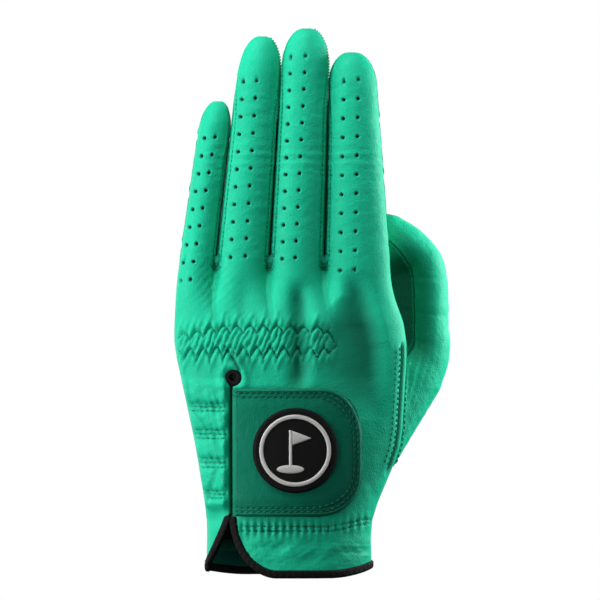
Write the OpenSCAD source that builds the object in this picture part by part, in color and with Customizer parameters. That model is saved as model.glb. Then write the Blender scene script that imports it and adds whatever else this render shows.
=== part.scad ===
// Golf glove for the left hand, filled out as if worn and standing on its cuff.
// +Z runs from the hem to the finger tips and -Y is the back of the hand, so +X is the thumb side.
// The origin is the centre of the hem's flat underside.

/* [Leather] */
// Thickness of the glove leather
leather_t = 0.8; // [0.5:0.1:1.2]
// Gap between two pieces that are sewn edge to edge
seam_gap = 0.3; // [0.2:0.05:0.5]
// Gap between two layers that lie on each other
ply_gap = 0.2; // [0.1:0.05:0.3]

/* [Cuff] */
// Width of the cuff at the hem
cuff_w = 69.5; // [64:0.5:76]
// Depth of the cuff at the hem, from the back of the hand to the palm
cuff_d = 42; // [36:0.5:48]
// Height of the bound edge round the hem
hem_h = 4; // [3:0.5:6]
// Height by which the hem rises at the sides of the cuff
hem_rise = 1.6; // [0:0.2:3]
// Thickness of the edge binding
binding_t = 2.2; // [1.4:0.1:3]

/* [Hand] */
// Height of the narrowest part of the wrist
wrist_h = 24; // [18:1:28]
// Width of the wrist
wrist_w = 68.5; // [62:0.5:74]
// Depth of the wrist
wrist_d = 40; // [34:0.5:46]
// Height of the heel of the hand
heel_h = 55; // [50:1:60]
// Width of the heel of the hand
heel_w = 86.5; // [80:0.5:90]
// How far the heel of the hand stands out towards the thumb
heel_shift = 4; // [0:0.5:5]
// Depth of the heel of the hand
heel_d = 38; // [34:0.5:44]
// Height of the widest part of the palm
palm_h = 99; // [94:1:103]
// Width of the palm
palm_w = 98.5; // [94:0.5:104]
// Depth of the palm
palm_d = 33; // [29:0.5:38]
// Height of the webs between the fingers
web_h = 131.5; // [128:0.5:136]
// Fullness of the hand's section, where 2 is an ellipse
hand_power = 2.3; // [2:0.1:3]

/* [Fingers] */
// Gap between two fingers at the web
web_gap = 1; // [0.9:0.1:1.5]
// Sweep of the back leather round each side of a finger, in degrees
back_sweep = 72; // [66:1:78]
// Sweep of the palm leather round each side of a finger, in degrees
palm_sweep = 55; // [48:1:62]
// How far the finger tips curl towards the palm
finger_curl = 4; // [0:0.5:6]

/* [Little finger] */
// Width of the little finger at the web
little_w = 15; // [13:0.2:15.4]
// Width of the little finger at the start of its rounded tip
little_tip_w = 13.4; // [12:0.2:13.8]
// Depth of the little finger
little_d = 16; // [14:0.2:18]
// Height of the little finger above the web line
little_len = 68.5; // [62:0.5:74]
// Lean of the little finger towards the thumb, in degrees
little_lean = 7.3; // [7:0.1:7.4]

/* [Ring finger] */
// Width of the ring finger at the web
ring_w = 21.4; // [20:0.2:22]
// Width of the ring finger at the start of its rounded tip
ring_tip_w = 18; // [16.6:0.2:18.2]
// Depth of the ring finger
ring_d = 17.4; // [15:0.2:19]
// Height of the ring finger above the web line
ring_len = 95.7; // [88:0.5:100]
// Lean of the ring finger towards the thumb, in degrees
ring_lean = 4.9; // [4.8:0.1:5]

/* [Middle finger] */
// Width of the middle finger at the web
middle_w = 22; // [20:0.2:23]
// Width of the middle finger at the start of its rounded tip
middle_tip_w = 19.4; // [18:0.2:19.6]
// Depth of the middle finger
middle_d = 18; // [16:0.2:20]
// Height of the middle finger above the web line
middle_len = 99; // [92:0.5:104]
// Lean of the middle finger towards the thumb, in degrees
middle_lean = 2.4; // [2.3:0.1:2.5]

/* [Index finger] */
// Width of the index finger at the web
index_w = 27.2; // [25:0.2:29]
// Width of the index finger at the start of its rounded tip
index_tip_w = 20.2; // [18:0.2:20.4]
// Depth of the index finger
index_d = 18; // [16:0.2:20]
// Height of the index finger above the web line
index_len = 89; // [82:0.5:94]
// Lean of the index finger towards the thumb, in degrees
index_lean = -1.5; // [-1.6:0.1:-1]

/* [Vent holes] */
// Diameter of a vent hole
vent_dia = 1.3; // [1:0.1:1.8]
// Distance between two vent holes along a finger
vent_pitch = 7.3; // [6.5:0.1:8]
// Distance between the two rows on a finger, as a share of its width
vent_spread = 0.3; // [0.24:0.02:0.4]

/* [Thumb] */
// Height of the top of the thumb hole
thumb_top_h = 97; // [94:0.5:100]
// Height of the bottom of the thumb hole
thumb_bottom_h = 47; // [44:0.5:52]
// Reach of the thumb hole into the palm
thumb_inset = 23; // [19:0.5:26]
// Width of the thumb at its middle
thumb_w = 24; // [22:0.5:25]
// Depth of the thumb at its middle
thumb_d = 21.5; // [19:0.5:23]
// Sweep of the thumb's inner leather round each side, in degrees
thumb_sweep = 78; // [70:1:86]

/* [Wrist tab] */
// Width of the tab from the slit to its free end
tab_w = 53.6; // [50:0.2:57]
// Height of the tab
tab_h = 53; // [48:0.5:56]
// Height of the tab's lower edge above the hem
tab_base_h = 26.5; // [25.5:0.5:30]
// Corner radius of the tab's free end
tab_corner = 15; // [8:0.5:20]
// Width of the tab's folded and stitched margin, kept clear of hook tape
tab_margin = 7; // [5:0.5:10]
// Thickness of the hook tape
hook_t = 0.9; // [0.6:0.1:1.4]
// Thickness of the loop tape
loop_t = 0.8; // [0.5:0.1:1.2]
// Thickness of the tab's lining
lining_t = 0.6; // [0.4:0.1:0.9]
// Diameter of the round badge
badge_dia = 35; // [28:0.5:38]
// Thickness of the badge
badge_t = 1; // [0.6:0.1:1.5]
// Diameter of the embroidered ring, to its middle
ring_badge_dia = 27.6; // [22:0.2:28]
// Width of the embroidered ring
ring_badge_w = 1.7; // [1:0.1:2.4]
// Height of the embroidery above the badge
thread_t = 0.5; // [0.3:0.1:0.8]

/* [Slit] */
// Distance of the slit from the cuff's middle, towards the little finger
slit_x = 24.2; // [22:0.2:26]
// Width of the slit under the tab
slit_w = 1.4; // [1:0.1:2]
// Radius of the hole at the slit's upper end
keyhole_r = 2.6; // [2:0.1:3.2]
// Reach of the notch at the hem from the slit towards the thumb
notch_w = 20; // [16:0.5:24]
// Width of the binding along the notch
binding_w = 3.2; // [2:0.1:4]
// Width of the binding round the slit's upper end
keyhole_binding_w = 0.9; // [0.6:0.1:1.4]

/* [Elastics] */
// Thickness of the elastic tapes
elastic_t = 0.9; // [0.6:0.1:1.4]
// Height of the knuckle elastic's lower edge
knuckle_elastic_h = 91; // [88:0.5:93]
// Height of the knuckle elastic tape
knuckle_elastic_w = 13; // [10:0.5:15]
// Reach of the knuckle elastic from the cuff's middle towards the thumb
knuckle_elastic_reach = 20; // [14:0.5:26]
// Height of one side elastic tape
side_elastic_w = 4.5; // [3:0.5:6]
// Distance between two side elastic tapes
side_elastic_pitch = 11.5; // [10:0.5:13]
// Height of the lowest side elastic's middle
side_elastic_h = 37.4; // [34:0.2:40]
// Height of the wrist elastic tapes
wrist_elastic_w = 5; // [3.5:0.5:6.5]
// Height of the back wrist elastic's middle
wrist_elastic_h = 21; // [18:0.5:22]
// Height of the palm wrist elastic's middle
palm_elastic_h = 12.8; // [10:0.2:24]

/* [Hidden] */

little = 0;
ring = 1;
middle = 2;
index = 3;

widths = [little_w, ring_w, middle_w, index_w];
tip_widths = [little_tip_w, ring_tip_w, middle_tip_w, index_tip_w];
depths = [little_d, ring_d, middle_d, index_d];
lengths = [little_len, ring_len, middle_len, index_len];
leans = [little_lean, ring_lean, middle_lean, index_lean];
// How far each finger's middle line lies behind the hand's, towards the palm
settings = [3.5, 1, 0, 0.6];
// Share of each finger's length at which its middle joint lies
joint_shares = [0.43, 0.41, 0.42, 0.41];
// Share of each finger's length at which its tip starts to round
shoulder_shares = [0.79, 0.8, 0.83, 0.83];
// Half the width of the short seam across the top of a finger tip
tip_seam = 2.2;

joint_gap = seam_gap;
web_w = widths[0] + widths[1] + widths[2] + widths[3] + 3 * web_gap;
// The fingers are set side by side from the little finger's outer edge
web_left = -web_w / 2 - 1.9;

function sum_to(list, n) = n < 0 ? 0 : list[n] + sum_to(list, n - 1);
function mix(a, b, t) = a * (1 - t) + b * t;
function clamp01(t) = min(1, max(0, t));
function ease(t) = let (c = clamp01(t)) c * c * (3 - 2 * c);
function unit(v) = v / norm(v);
// A line of straight runs with its corners rounded off, read at z
function soft(z, line, reach = 7) =
    (lookup(z - reach, line) + 2 * lookup(z, line) + lookup(z + reach, line)) / 4;

// ---- the hand's section ----
left_line = [
    [0, cuff_w / 2], [wrist_h, wrist_w / 2], [heel_h, heel_w / 2 - heel_shift],
    [palm_h, palm_w / 2 - 0.5], [web_h, -web_left]
];
right_line = [
    [0, cuff_w / 2], [wrist_h, wrist_w / 2], [heel_h, heel_w / 2 + heel_shift],
    [palm_h, palm_w / 2 + 0.5], [web_h, web_left + web_w]
];
depth_line = [
    [0, cuff_d / 2], [wrist_h, wrist_d / 2], [heel_h, heel_d / 2],
    [palm_h, palm_d / 2], [web_h, middle_d / 2 + 1.5]
];

function left_at(z) = soft(z, left_line);
function right_at(z) = soft(z, right_line);
function depth_at(z) = soft(z, depth_line);
// Depth of the hand's skin at a share s of its width; side is -1 on the back, 1 on the palm
function skin_y(s, z, side, o) =
    side * (depth_at(z) + o) * pow(max(0, 1 - pow(abs(2 * s - 1), hand_power)), 1 / hand_power);
function hand_point(s, z, side, o) =
    let (l = left_at(z) + o, r = right_at(z) + o) [-l + (l + r) * s, skin_y(s, z, side, o), z];
// The same skin, read at a place x
function skin_at(x, z, side, o) =
    let (l = left_at(z) + o, r = right_at(z) + o) skin_y(clamp01((x + l) / (l + r)), z, side, o);

// ---- one finger's section ----
function joint_z(f) = web_h + lengths[f] * joint_shares[f];
function shoulder_z(f) = web_h + lengths[f] * shoulder_shares[f];
function tip_z(f) = web_h + lengths[f];
function base_x(f) = web_left + sum_to(widths, f - 1) + f * web_gap + widths[f] / 2;
function centre_x(f, z) = base_x(f) + (z - web_h) * tan(leans[f]);
function centre_y(f, z) =
    settings[f] * ease((z - web_h + 20) / 45)
    + finger_curl * pow(clamp01((z - web_h) / lengths[f]), 2);
function half_w(f, z) =
    mix(widths[f], tip_widths[f], clamp01((z - web_h) / (shoulder_z(f) - web_h))) / 2;
function half_d(f, z) = depths[f] / 2 * mix(1.04, 0.9, clamp01((z - web_h) / lengths[f]));
// A point of finger f at the angle phi, which is 0 on the back and grows towards the thumb side.
// s runs from 0 at the web over 1 at the middle joint and 2 at the shoulder to 3 at the tip.
function straight_z(f, s) =
    s < 1 ? mix(web_h, joint_z(f), s) : mix(joint_z(f), shoulder_z(f), s - 1);
function finger_point(f, phi, s, o) =
    s <= 2
    ? let (z = straight_z(f, s)) [
        centre_x(f, z) + (half_w(f, z) + o) * sin(phi),
        centre_y(f, z) - (half_d(f, z) + o) * cos(phi),
        z
    ]
    : let (
        t = 90 * (s - 2),
        z0 = shoulder_z(f),
        z = z0 + (tip_z(f) - z0 + o) * sin(t),
        a = tip_seam + (half_w(f, z0) + o - tip_seam) * cos(t),
        b = seam_gap / 2 + (half_d(f, z0) + o - seam_gap / 2) * cos(t)
    ) [centre_x(f, z) + a * sin(phi), centre_y(f, z) - b * cos(phi), z];

// Seams run at these angles. The little finger's outer side and the index finger's outer side are folds.
// They close in on the finger's side line towards the tip, where the side strips end.
edge_turn = seam_gap * 4;
function closing(sweep, s) = mix(sweep, 90 - edge_turn, ease((s - 1.5) / 0.6));
function back_left(f, s) = f == little ? -90 + edge_turn : -closing(back_sweep, s);
function back_right(f, s) = f == index ? 90 - edge_turn : closing(back_sweep, s);
function palm_left(f, s) = f == little ? 270 - edge_turn : 180 + closing(palm_sweep, s);
function palm_right(f, s) = f == index ? 90 + edge_turn : 180 - closing(palm_sweep, s);

// ---- a closed solid between two skins ----
// Rows run up and columns run left to right as seen from outside. keep says which cells are leather.
module sheet_solid(outer, inner, keep = undef) {
    rows = len(outer);
    cols = len(outer[0]);
    total = rows * cols;
    points = concat([for (row = outer) each row], [for (row = inner) each row]);
    function kept(i, j) =
        i < 0 || j < 0 || i > rows - 2 || j > cols - 2 ? false : is_undef(keep) ? true : keep[i][j];
    function id(i, j) = i * cols + j;
    function quad(p, q, r, s) = [[p, q, r], [p, r, s]];
    faces = [
        for (i = [0:rows - 2], j = [0:cols - 2]) if (kept(i, j))
            let (a = id(i, j), b = id(i + 1, j), c = id(i + 1, j + 1), d = id(i, j + 1))
            each concat(
                quad(a, b, c, d),
                quad(a + total, d + total, c + total, b + total),
                kept(i - 1, j) ? [] : quad(a, d, d + total, a + total),
                kept(i, j - 1) ? [] : quad(b, a, a + total, b + total),
                kept(i + 1, j) ? [] : quad(c, b, b + total, c + total),
                kept(i, j + 1) ? [] : quad(d, c, c + total, d + total)
            )
    ];
    polyhedron(points, faces, convexity = 10);
}

// A shape drawn in the front view, x across and z up, made a prism from y0 to y1
module front_prism(y0, y1) {
    translate([0, y1, 0]) rotate([90, 0, 0]) linear_extrude(y1 - y0) children();
}

// ---- the back and palm sheets, which run from the hem over the webs to the fingers' middle joints ----
cell_h = 9;
hand_rows = ceil((web_h - hem_h) / cell_h);
finger_rows = 5;
finger_cols = 6;
blend_from = web_h - 26;

function panel_rows(base) = [for (i = [0:hand_rows]) mix(base, web_h, i / hand_rows)];
function web_share(f, phi) = (finger_point(f, phi, 0, 0)[0] - web_left) / web_w;
// One point of a panel: the hand's skin low down, turning into the finger's arch at the web
function panel_point(f, phi, z, side, o) =
    let (
        w = ease((z - blend_from) / (web_h - blend_from)),
        x = centre_x(f, z) + (half_w(f, z) + o) * sin(phi),
        y = centre_y(f, z) - (half_d(f, z) + o) * cos(phi)
    )
    mix(hand_point(web_share(f, phi), z, side, o), [x, y, z], w);
function back_phi(f, j, s) = mix(back_left(f, s), back_right(f, s), j / finger_cols);
function palm_phi(f, j, s) = mix(palm_right(f, s), palm_left(f, s), j / finger_cols);
function joint_end(f) = 1 - joint_gap / 2 / (joint_z(f) - web_h);

function back_grid(base, o) = concat(
    [for (z = panel_rows(base)) [
        for (f = [little:index], j = [0:finger_cols]) panel_point(f, back_phi(f, j, 0), z, -1, o)
    ]],
    [for (k = [1:finger_rows]) [
        for (f = [little:index], j = [0:finger_cols])
            finger_point(f, back_phi(f, j, 0), k / finger_rows * joint_end(f), o)
    ]]
);
function palm_grid(base, o) = concat(
    [for (z = panel_rows(base)) [
        for (f = [index:-1:little], j = [0:finger_cols]) panel_point(f, palm_phi(f, j, 0), z, 1, o)
    ]],
    [for (k = [1:finger_rows]) [
        for (f = [index:-1:little], j = [0:finger_cols])
            finger_point(f, palm_phi(f, j, 0), k / finger_rows * joint_end(f), o)
    ]]
);
// The columns between two fingers are leather only below the web line
panel_keep = [
    for (i = [0:hand_rows + finger_rows - 1]) [
        for (j = [0:4 * (finger_cols + 1) - 2])
            i < hand_rows || j % (finger_cols + 1) != finger_cols
    ]
];

// A sheet that follows the back of the hand, from offset o0 to o1 above the leather
module back_ply(o0, o1, z0, z1) {
    steps = ceil((z1 - z0) / cell_h);
    function grid(o) = [
        for (i = [0:steps]) let (z = mix(z0, z1, i / steps)) [
            for (f = [little:index], j = [0:finger_cols]) panel_point(f, back_phi(f, j, 0), z, -1, o)
        ]
    ];
    sheet_solid(grid(o1), grid(o0));
}
module palm_ply(o0, o1, z0, z1) {
    steps = ceil((z1 - z0) / cell_h);
    function grid(o) = [
        for (i = [0:steps]) let (z = mix(z0, z1, i / steps)) [
            for (f = [index:-1:little], j = [0:finger_cols]) panel_point(f, palm_phi(f, j, 0), z, 1, o)
        ]
    ];
    sheet_solid(grid(o1), grid(o0));
}

// ---- the slit, its keyhole and the notch at the hem, drawn in the front view ----
reach = 80;
notch_top = tab_base_h;
keyhole_h = tab_base_h + tab_h + 4;
module circle_outline(r, sides) {
    polygon([for (i = [0:sides - 1]) r * [cos(360 * i / sides), sin(360 * i / sides)]]);
}
module slit_outline() {
    translate([-slit_x - slit_w / 2, notch_top - 2]) square([slit_w, keyhole_h - notch_top + 2]);
    translate([-slit_x, keyhole_h]) circle_outline(keyhole_r, 16);
}
module notch_outline() {
    steps = 8;
    polygon(concat(
        [[-slit_x - slit_w / 2, notch_top], [-cuff_w / 2 + 1, hem_h], [-cuff_w / 2 + 1, -reach]],
        [[-slit_x + slit_w / 2 + notch_w, -reach]],
        [for (i = [steps:-1:0]) let (t = 90 * i / steps) [
            -slit_x + slit_w / 2 + notch_w * (1 - cos(t)),
            notch_top - (notch_top - hem_h / 2) * sin(t)
        ]]
    ));
}
module notch_band(grow = 0) {
    offset(delta = binding_w + grow) notch_outline();
}
module keyhole_band(grow = 0) {
    translate([-slit_x, keyhole_h]) circle_outline(keyhole_r + keyhole_binding_w + grow, 24);
}
// The space below the hem's curve, lifted by a height; the hem lies flat in the middle
hem_flat = 17;
module under_hem(lift = 0) {
    steps = 6;
    polygon(concat(
        [[-reach, -reach], [reach, -reach]],
        [for (i = [steps:-1:0])
            let (t = i / steps) [mix(hem_flat, cuff_w / 2, t), lift + hem_rise * t * t]],
        [for (i = [0:steps])
            let (t = i / steps) [-mix(hem_flat, cuff_w / 2, t), lift + hem_rise * t * t]]
    ));
    translate([-reach, -reach]) square([reach - cuff_w / 2, reach + lift + hem_rise]);
    translate([cuff_w / 2, -reach]) square([reach - cuff_w / 2, reach + lift + hem_rise]);
}

// ---- trunk leather ----
module vent_holes(f, s_from, s_to) {
    count = floor((tip_z(f) - web_h - vent_end) / vent_pitch);
    for (i = [0:count], side = [-1, 1]) {
        z = web_h + 1.5 + i * vent_pitch;
        s = z < joint_z(f)
            ? (z - web_h) / (joint_z(f) - web_h)
            : 1 + (z - joint_z(f)) / (shoulder_z(f) - joint_z(f));
        phi = asin(side * vent_spread);
        p = finger_point(f, phi, s, 0);
        if (s > s_from && s < s_to)
            translate([p[0], p[1] + leather_t * 2, p[2]]) rotate([90, 0, 0])
                cylinder(d = vent_dia, h = leather_t * 4, $fn = 8);
    }
}
vent_end = 17;
vent_edge = vent_dia / leather_t / 40;

module back_panel() {
    color("mediumseagreen") difference() {
        sheet_solid(back_grid(hem_h + seam_gap, 0), back_grid(hem_h + seam_gap, -leather_t), panel_keep);
        front_prism(-reach, 0) union() {
            slit_outline();
            notch_band(seam_gap);
            keyhole_band(seam_gap);
        }
        front_prism(-reach, reach) under_hem(hem_h + seam_gap);
        for (f = [little:index]) vent_holes(f, 0, 1 - vent_edge);
    }
}

// The thumb hole's edge on the palm, at the angle t: 180 at the bottom, 270 deepest, 360 at the top
thumb_mid_h = (thumb_top_h + thumb_bottom_h) / 2;
thumb_half_h = (thumb_top_h - thumb_bottom_h) / 2;
function hole_z(t, grow) = thumb_mid_h + (thumb_half_h + grow) * cos(t);
function hole_x(t, grow) = right_at(hole_z(t, grow)) + (thumb_inset + grow) * sin(t);

module palm_panel() {
    steps = 16;
    color("mediumseagreen") difference() {
        sheet_solid(palm_grid(hem_h + seam_gap, 0), palm_grid(hem_h + seam_gap, -leather_t), panel_keep);
        front_prism(-reach, reach) under_hem(hem_h + seam_gap);
        front_prism(-1, reach) polygon(concat(
            [[reach, hole_z(360, 0)], [reach, hole_z(180, 0)]],
            [for (i = [0:steps]) let (t = 180 + 180 * i / steps) [hole_x(t, 0), hole_z(t, 0)]]
        ));
    }
}

// ---- bindings ----
function ring_outline(z, o, steps = 72) = [
    for (i = [0:steps - 1])
        let (t = 360 * i / steps, s = (1 - cos(t)) / 2, p = hand_point(s, z, t < 180 ? -1 : 1, o))
        [p[0], p[1]]
];
module hem_binding() {
    color("black") difference() {
        linear_extrude(hem_h + hem_rise) difference() {
            polygon(ring_outline(0, (binding_t - leather_t) / 2));
            polygon(ring_outline(0, -(binding_t + leather_t) / 2));
        }
        front_prism(-reach, 0) notch_band(seam_gap);
        front_prism(-reach, reach) difference() {
            translate([-reach, 0]) square([2 * reach, reach]);
            under_hem(hem_h);
        }
        front_prism(-reach, reach) difference() {
            under_hem();
            translate([-hem_flat, -1]) square([2 * hem_flat, 2]);
        }
    }
}
binding_rise = (binding_t - leather_t) / 2;
module notch_binding() {
    color("black") intersection() {
        back_ply(-leather_t - binding_rise, binding_rise, 0, tab_base_h + cell_h);
        front_prism(-reach, -1) difference() {
            notch_band();
            notch_outline();
            slit_outline();
        }
        front_prism(-reach, 0) difference() {
            translate([-reach, 0]) square([2 * reach, reach]);
            under_hem();
        }
    }
}
module keyhole_binding() {
    color("black") intersection() {
        back_ply(-leather_t - binding_rise, binding_rise, keyhole_h - cell_h, keyhole_h + cell_h);
        front_prism(-reach, -1) difference() {
            keyhole_band();
            slit_outline();
        }
    }
}

// ---- elastics, which are sewn to the inside of the leather ----
module inner_tape(z0, z1, x0, x1) {
    intersection() {
        back_ply(-leather_t - ply_gap - elastic_t, -leather_t - ply_gap, z0, z1);
        front_prism(-reach, -1) translate([x0, z0]) square([x1 - x0, z1 - z0]);
    }
}
module knuckle_elastic() {
    color("seagreen") inner_tape(
        knuckle_elastic_h, knuckle_elastic_h + knuckle_elastic_w,
        -palm_w / 2 + 4, knuckle_elastic_reach
    );
}
module side_elastics() {
    color("seagreen") for (i = [0:3]) {
        z = side_elastic_h + i * side_elastic_pitch;
        inner_tape(
            z - side_elastic_w / 2, z + side_elastic_w / 2,
            -left_at(z) + 3, -slit_x - slit_w / 2 - seam_gap
        );
    }
}
module wrist_elastic() {
    color("seagreen") inner_tape(
        wrist_elastic_h - wrist_elastic_w / 2, wrist_elastic_h + wrist_elastic_w / 2,
        -slit_x + slit_w / 2 + binding_w + seam_gap + 2, wrist_w / 2 - 4
    );
}
module palm_elastic() {
    z0 = palm_elastic_h - wrist_elastic_w / 2;
    z1 = palm_elastic_h + wrist_elastic_w / 2;
    color("seagreen") intersection() {
        palm_ply(-leather_t - ply_gap - elastic_t, -leather_t - ply_gap, z0, z1);
        front_prism(1, reach) translate([-wrist_w / 2 + 4, z0]) square([wrist_w - 8, z1 - z0]);
    }
}

// ---- wrist tab ----
loop_top = ply_gap + loop_t;
hook_base = loop_top + seam_gap;
hook_top = hook_base + hook_t;
lining_base = hook_top + ply_gap;
lining_top = lining_base + lining_t;
tab_base = lining_top + ply_gap;
tab_top = tab_base + leather_t;
badge_base = tab_top + ply_gap;
badge_top = badge_base + badge_t;
tab_left = -slit_x + slit_w / 2;
tab_right = tab_left + tab_w;
badge_x = tab_left + tab_w * 0.484;
badge_z = tab_base_h + tab_h * 0.5;

module tab_outline(inset = 0) {
    r = tab_corner - inset;
    hull() {
        translate([tab_left + inset, tab_base_h + inset]) square([1, tab_h - 2 * inset]);
        for (z = [tab_base_h + tab_corner, tab_base_h + tab_h - tab_corner])
            translate([tab_right - tab_corner, z]) circle_outline(r, 32);
    }
}
module tab_ply(o0, o1) {
    intersection() {
        back_ply(o0, o1, tab_base_h - 1, tab_base_h + tab_h + 1);
        front_prism(-reach, -1) union() children();
    }
}
module loop_patch() {
    color("darkgreen") tab_ply(ply_gap, loop_top)
        translate([tab_left + tab_margin, tab_base_h + tab_margin])
            square([tab_w - 2 * tab_margin, tab_h - 2 * tab_margin]);
}
module hook_patch() {
    color("darkgreen") tab_ply(hook_base, hook_top) tab_outline(tab_margin);
}
module tab_lining() {
    color("seagreen") tab_ply(lining_base, lining_top) tab_outline(0.6);
}
// The tab's root turns down into the slit, where the tab is sewn
root_left = tab_left - leather_t - ply_gap;
root_base = tab_base_h + 4;
root_h = tab_base_h + tab_h - root_base;
module tab_leather() {
    color("mediumseagreen") {
        tab_ply(tab_base, tab_top) {
            tab_outline();
            translate([root_left, root_base]) square([2, root_h]);
        }
        tab_ply(ply_gap + 0.15, tab_top) translate([root_left, root_base]) square([leather_t, root_h]);
    }
}

// ---- badge: a black disc with an embroidered ring and a small flag on a pin ----
module badge_disc() {
    color("black") tab_ply(badge_base, badge_top)
        translate([badge_x, badge_z]) circle_outline(badge_dia / 2, 48);
}
module badge_ring() {
    color("white") tab_ply(badge_top, badge_top + thread_t)
        translate([badge_x, badge_z]) difference() {
            circle_outline((ring_badge_dia + ring_badge_w) / 2, 48);
            circle_outline((ring_badge_dia - ring_badge_w) / 2, 48);
        }
}
module badge_motif() {
    size = ring_badge_dia;
    color("white") tab_ply(badge_top, badge_top + thread_t)
        translate([badge_x, badge_z]) {
            translate([-size * 0.09, -size * 0.26]) square([size * 0.045, size * 0.55]);
            polygon([
                [-size * 0.03, size * 0.29], [size * 0.22, size * 0.185], [-size * 0.03, size * 0.08]
            ]);
            translate([-size * 0.07, -size * 0.27]) scale([1, 0.32]) circle_outline(size * 0.17, 24);
        }
}

// ---- fourchettes, the strips between the fingers ----
strip_cols = 4;
strip_turn = edge_turn;
// Angle across a strip, j = 0 at the edge that comes first going round from the left
function right_strip_phi(f, j, s) =
    mix(back_right(f, s) + strip_turn, palm_right(f, s) - strip_turn, j / strip_cols);
function left_strip_phi(f, j, s) =
    mix(palm_left(f, s) + strip_turn, 360 + back_left(f, s) - strip_turn, j / strip_cols);

// The web strip of the gap between finger f and the next: down one side, under the web and up the other
module web_strip(f) {
    steps = finger_rows;
    drop = leather_t + ply_gap;
    rises = concat([drop / 3], [for (k = [1:steps]) k]);
    function down(o) = [
        for (k = [for (i = [steps:-1:0]) rises[i]]) [
            for (j = [0:strip_cols]) finger_point(f, right_strip_phi(f, j, 0), k / steps * joint_end(f), o)
        ]
    ];
    function up(o) = [
        for (k = rises) [
            for (j = [strip_cols:-1:0])
                finger_point(f + 1, left_strip_phi(f + 1, j, 0), k / steps * joint_end(f + 1), o)
        ]
    ];
    function turn(o) = [
        [for (j = [0:strip_cols])
            let (
                p = finger_point(f, right_strip_phi(f, j, 0), 0, 0),
                q = finger_point(f + 1, left_strip_phi(f + 1, strip_cols - j, 0), 0, 0)
            )
            (p + q) / 2 + [0, 0, drop + o]
        ]
    ];
    color("seagreen") sheet_solid(
        concat(down(0), turn(0), up(0)),
        concat(down(-leather_t), turn(-leather_t), up(-leather_t))
    );
}
module little_ring_fourchette() { web_strip(little); }
module ring_middle_fourchette() { web_strip(ring); }
module middle_index_fourchette() { web_strip(middle); }

// ---- the fingers beyond their middle joints ----
joint_start = 1 + joint_gap / 2 / 40;
upper_rows = concat([for (k = [0:4]) mix(joint_start, 2, k / 4)], [for (k = [1:5]) 2 + k / 5]);
strip_end = 2;
strip_rows = [for (k = [0:4]) mix(joint_start, strip_end, k / 4)];

module finger_back(f) {
    function grid(o) = [
        for (s = upper_rows) [for (j = [0:finger_cols]) finger_point(f, back_phi(f, j, s), s, o)]
    ];
    color("mediumseagreen") difference() {
        sheet_solid(grid(0), grid(-leather_t));
        vent_holes(f, joint_start + vent_edge, 2.4);
    }
}
module finger_palm(f) {
    function grid(o) = [
        for (s = upper_rows) [for (j = [0:finger_cols]) finger_point(f, palm_phi(f, j, s), s, o)]
    ];
    color("mediumseagreen") sheet_solid(grid(0), grid(-leather_t));
}
module right_strip(f) {
    function grid(o) = [
        for (s = strip_rows) [for (j = [0:strip_cols]) finger_point(f, right_strip_phi(f, j, s), s, o)]
    ];
    color("seagreen") sheet_solid(grid(0), grid(-leather_t));
}
module left_strip(f) {
    function grid(o) = [
        for (s = strip_rows) [for (j = [0:strip_cols]) finger_point(f, left_strip_phi(f, j, s), s, o)]
    ];
    color("seagreen") sheet_solid(grid(0), grid(-leather_t));
}
module little_back() { finger_back(little); }
module little_palm() { finger_palm(little); }
module little_fourchette() { right_strip(little); }
module ring_back() { finger_back(ring); }
module ring_palm() { finger_palm(ring); }
module ring_fourchettes() { left_strip(ring); right_strip(ring); }
module middle_back() { finger_back(middle); }
module middle_palm() { finger_palm(middle); }
module middle_fourchettes() { left_strip(middle); right_strip(middle); }
module index_back() { finger_back(index); }
module index_palm() { finger_palm(index); }
module index_fourchette() { left_strip(index); }

// ---- thumb ----
// Its middle line bends up beside the hand and then in behind the index finger.
// Each station holds the middle point, the half width and the half depth.
thumb_x = palm_w / 2 + 6;
thumb_r = thumb_w / 2;
thumb_q = thumb_d / 2;
thumb_line = [
    [[thumb_x - 5, 15, thumb_mid_h + 12.5], thumb_r + 2.8, thumb_q + 1.2],
    [[thumb_x - 0.2, 17.5, thumb_mid_h + 23], thumb_r + 1.2, thumb_q + 0.6],
    [[thumb_x + 0.4, 19.5, thumb_mid_h + 32.5], thumb_r, thumb_q],
    [[thumb_x + 0.3, 21, thumb_mid_h + 41], thumb_r, thumb_q],
    [[thumb_x + 0.1, 22.5, thumb_mid_h + 49.5], thumb_r, thumb_q],
    [[thumb_x - 1.4, 23.6, thumb_mid_h + 57.8], thumb_r, thumb_q - 0.3],
    [[thumb_x - 7, 24.2, thumb_mid_h + 65], thumb_r - 0.5, thumb_q - 0.6],
    [[thumb_x - 13.8, 24.6, thumb_mid_h + 70.2], thumb_r - 1.2, thumb_q - 1]
];
thumb_last = len(thumb_line) - 1;
thumb_tip_len = 9.5;
thumb_cut = 1;

function thumb_way(k) = unit(
    thumb_line[min(thumb_last, k + 1)][0] - thumb_line[max(0, k - 1)][0]
);
function front_axis(k) = let (t = thumb_way(k), y = [0, -1, 0]) unit(y - (y * t) * t);
function inner_axis(k) = cross(front_axis(k), thumb_way(k));
// A point of the thumb at station k. The angle a is 0 on the side that faces the index finger,
// 90 on the back-of-hand side, 180 outside and 270 on the palm side.
function thumb_ring(k, a, o) =
    thumb_line[k][0]
    + (thumb_line[k][1] + o) * cos(a) * inner_axis(k)
    + (thumb_line[k][2] + o) * sin(a) * front_axis(k);
// The rounded end, t from 0 to 90 degrees
function thumb_end(t, a, o) =
    let (k = thumb_last, r = seam_gap / 2, q = 2)
    thumb_line[k][0] + thumb_way(k) * (thumb_tip_len + o) * sin(t)
    + (r + (thumb_line[k][1] + o - r) * cos(t)) * cos(a) * inner_axis(k)
    + (q + (thumb_line[k][2] + o - q) * cos(t)) * sin(a) * front_axis(k);
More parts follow.
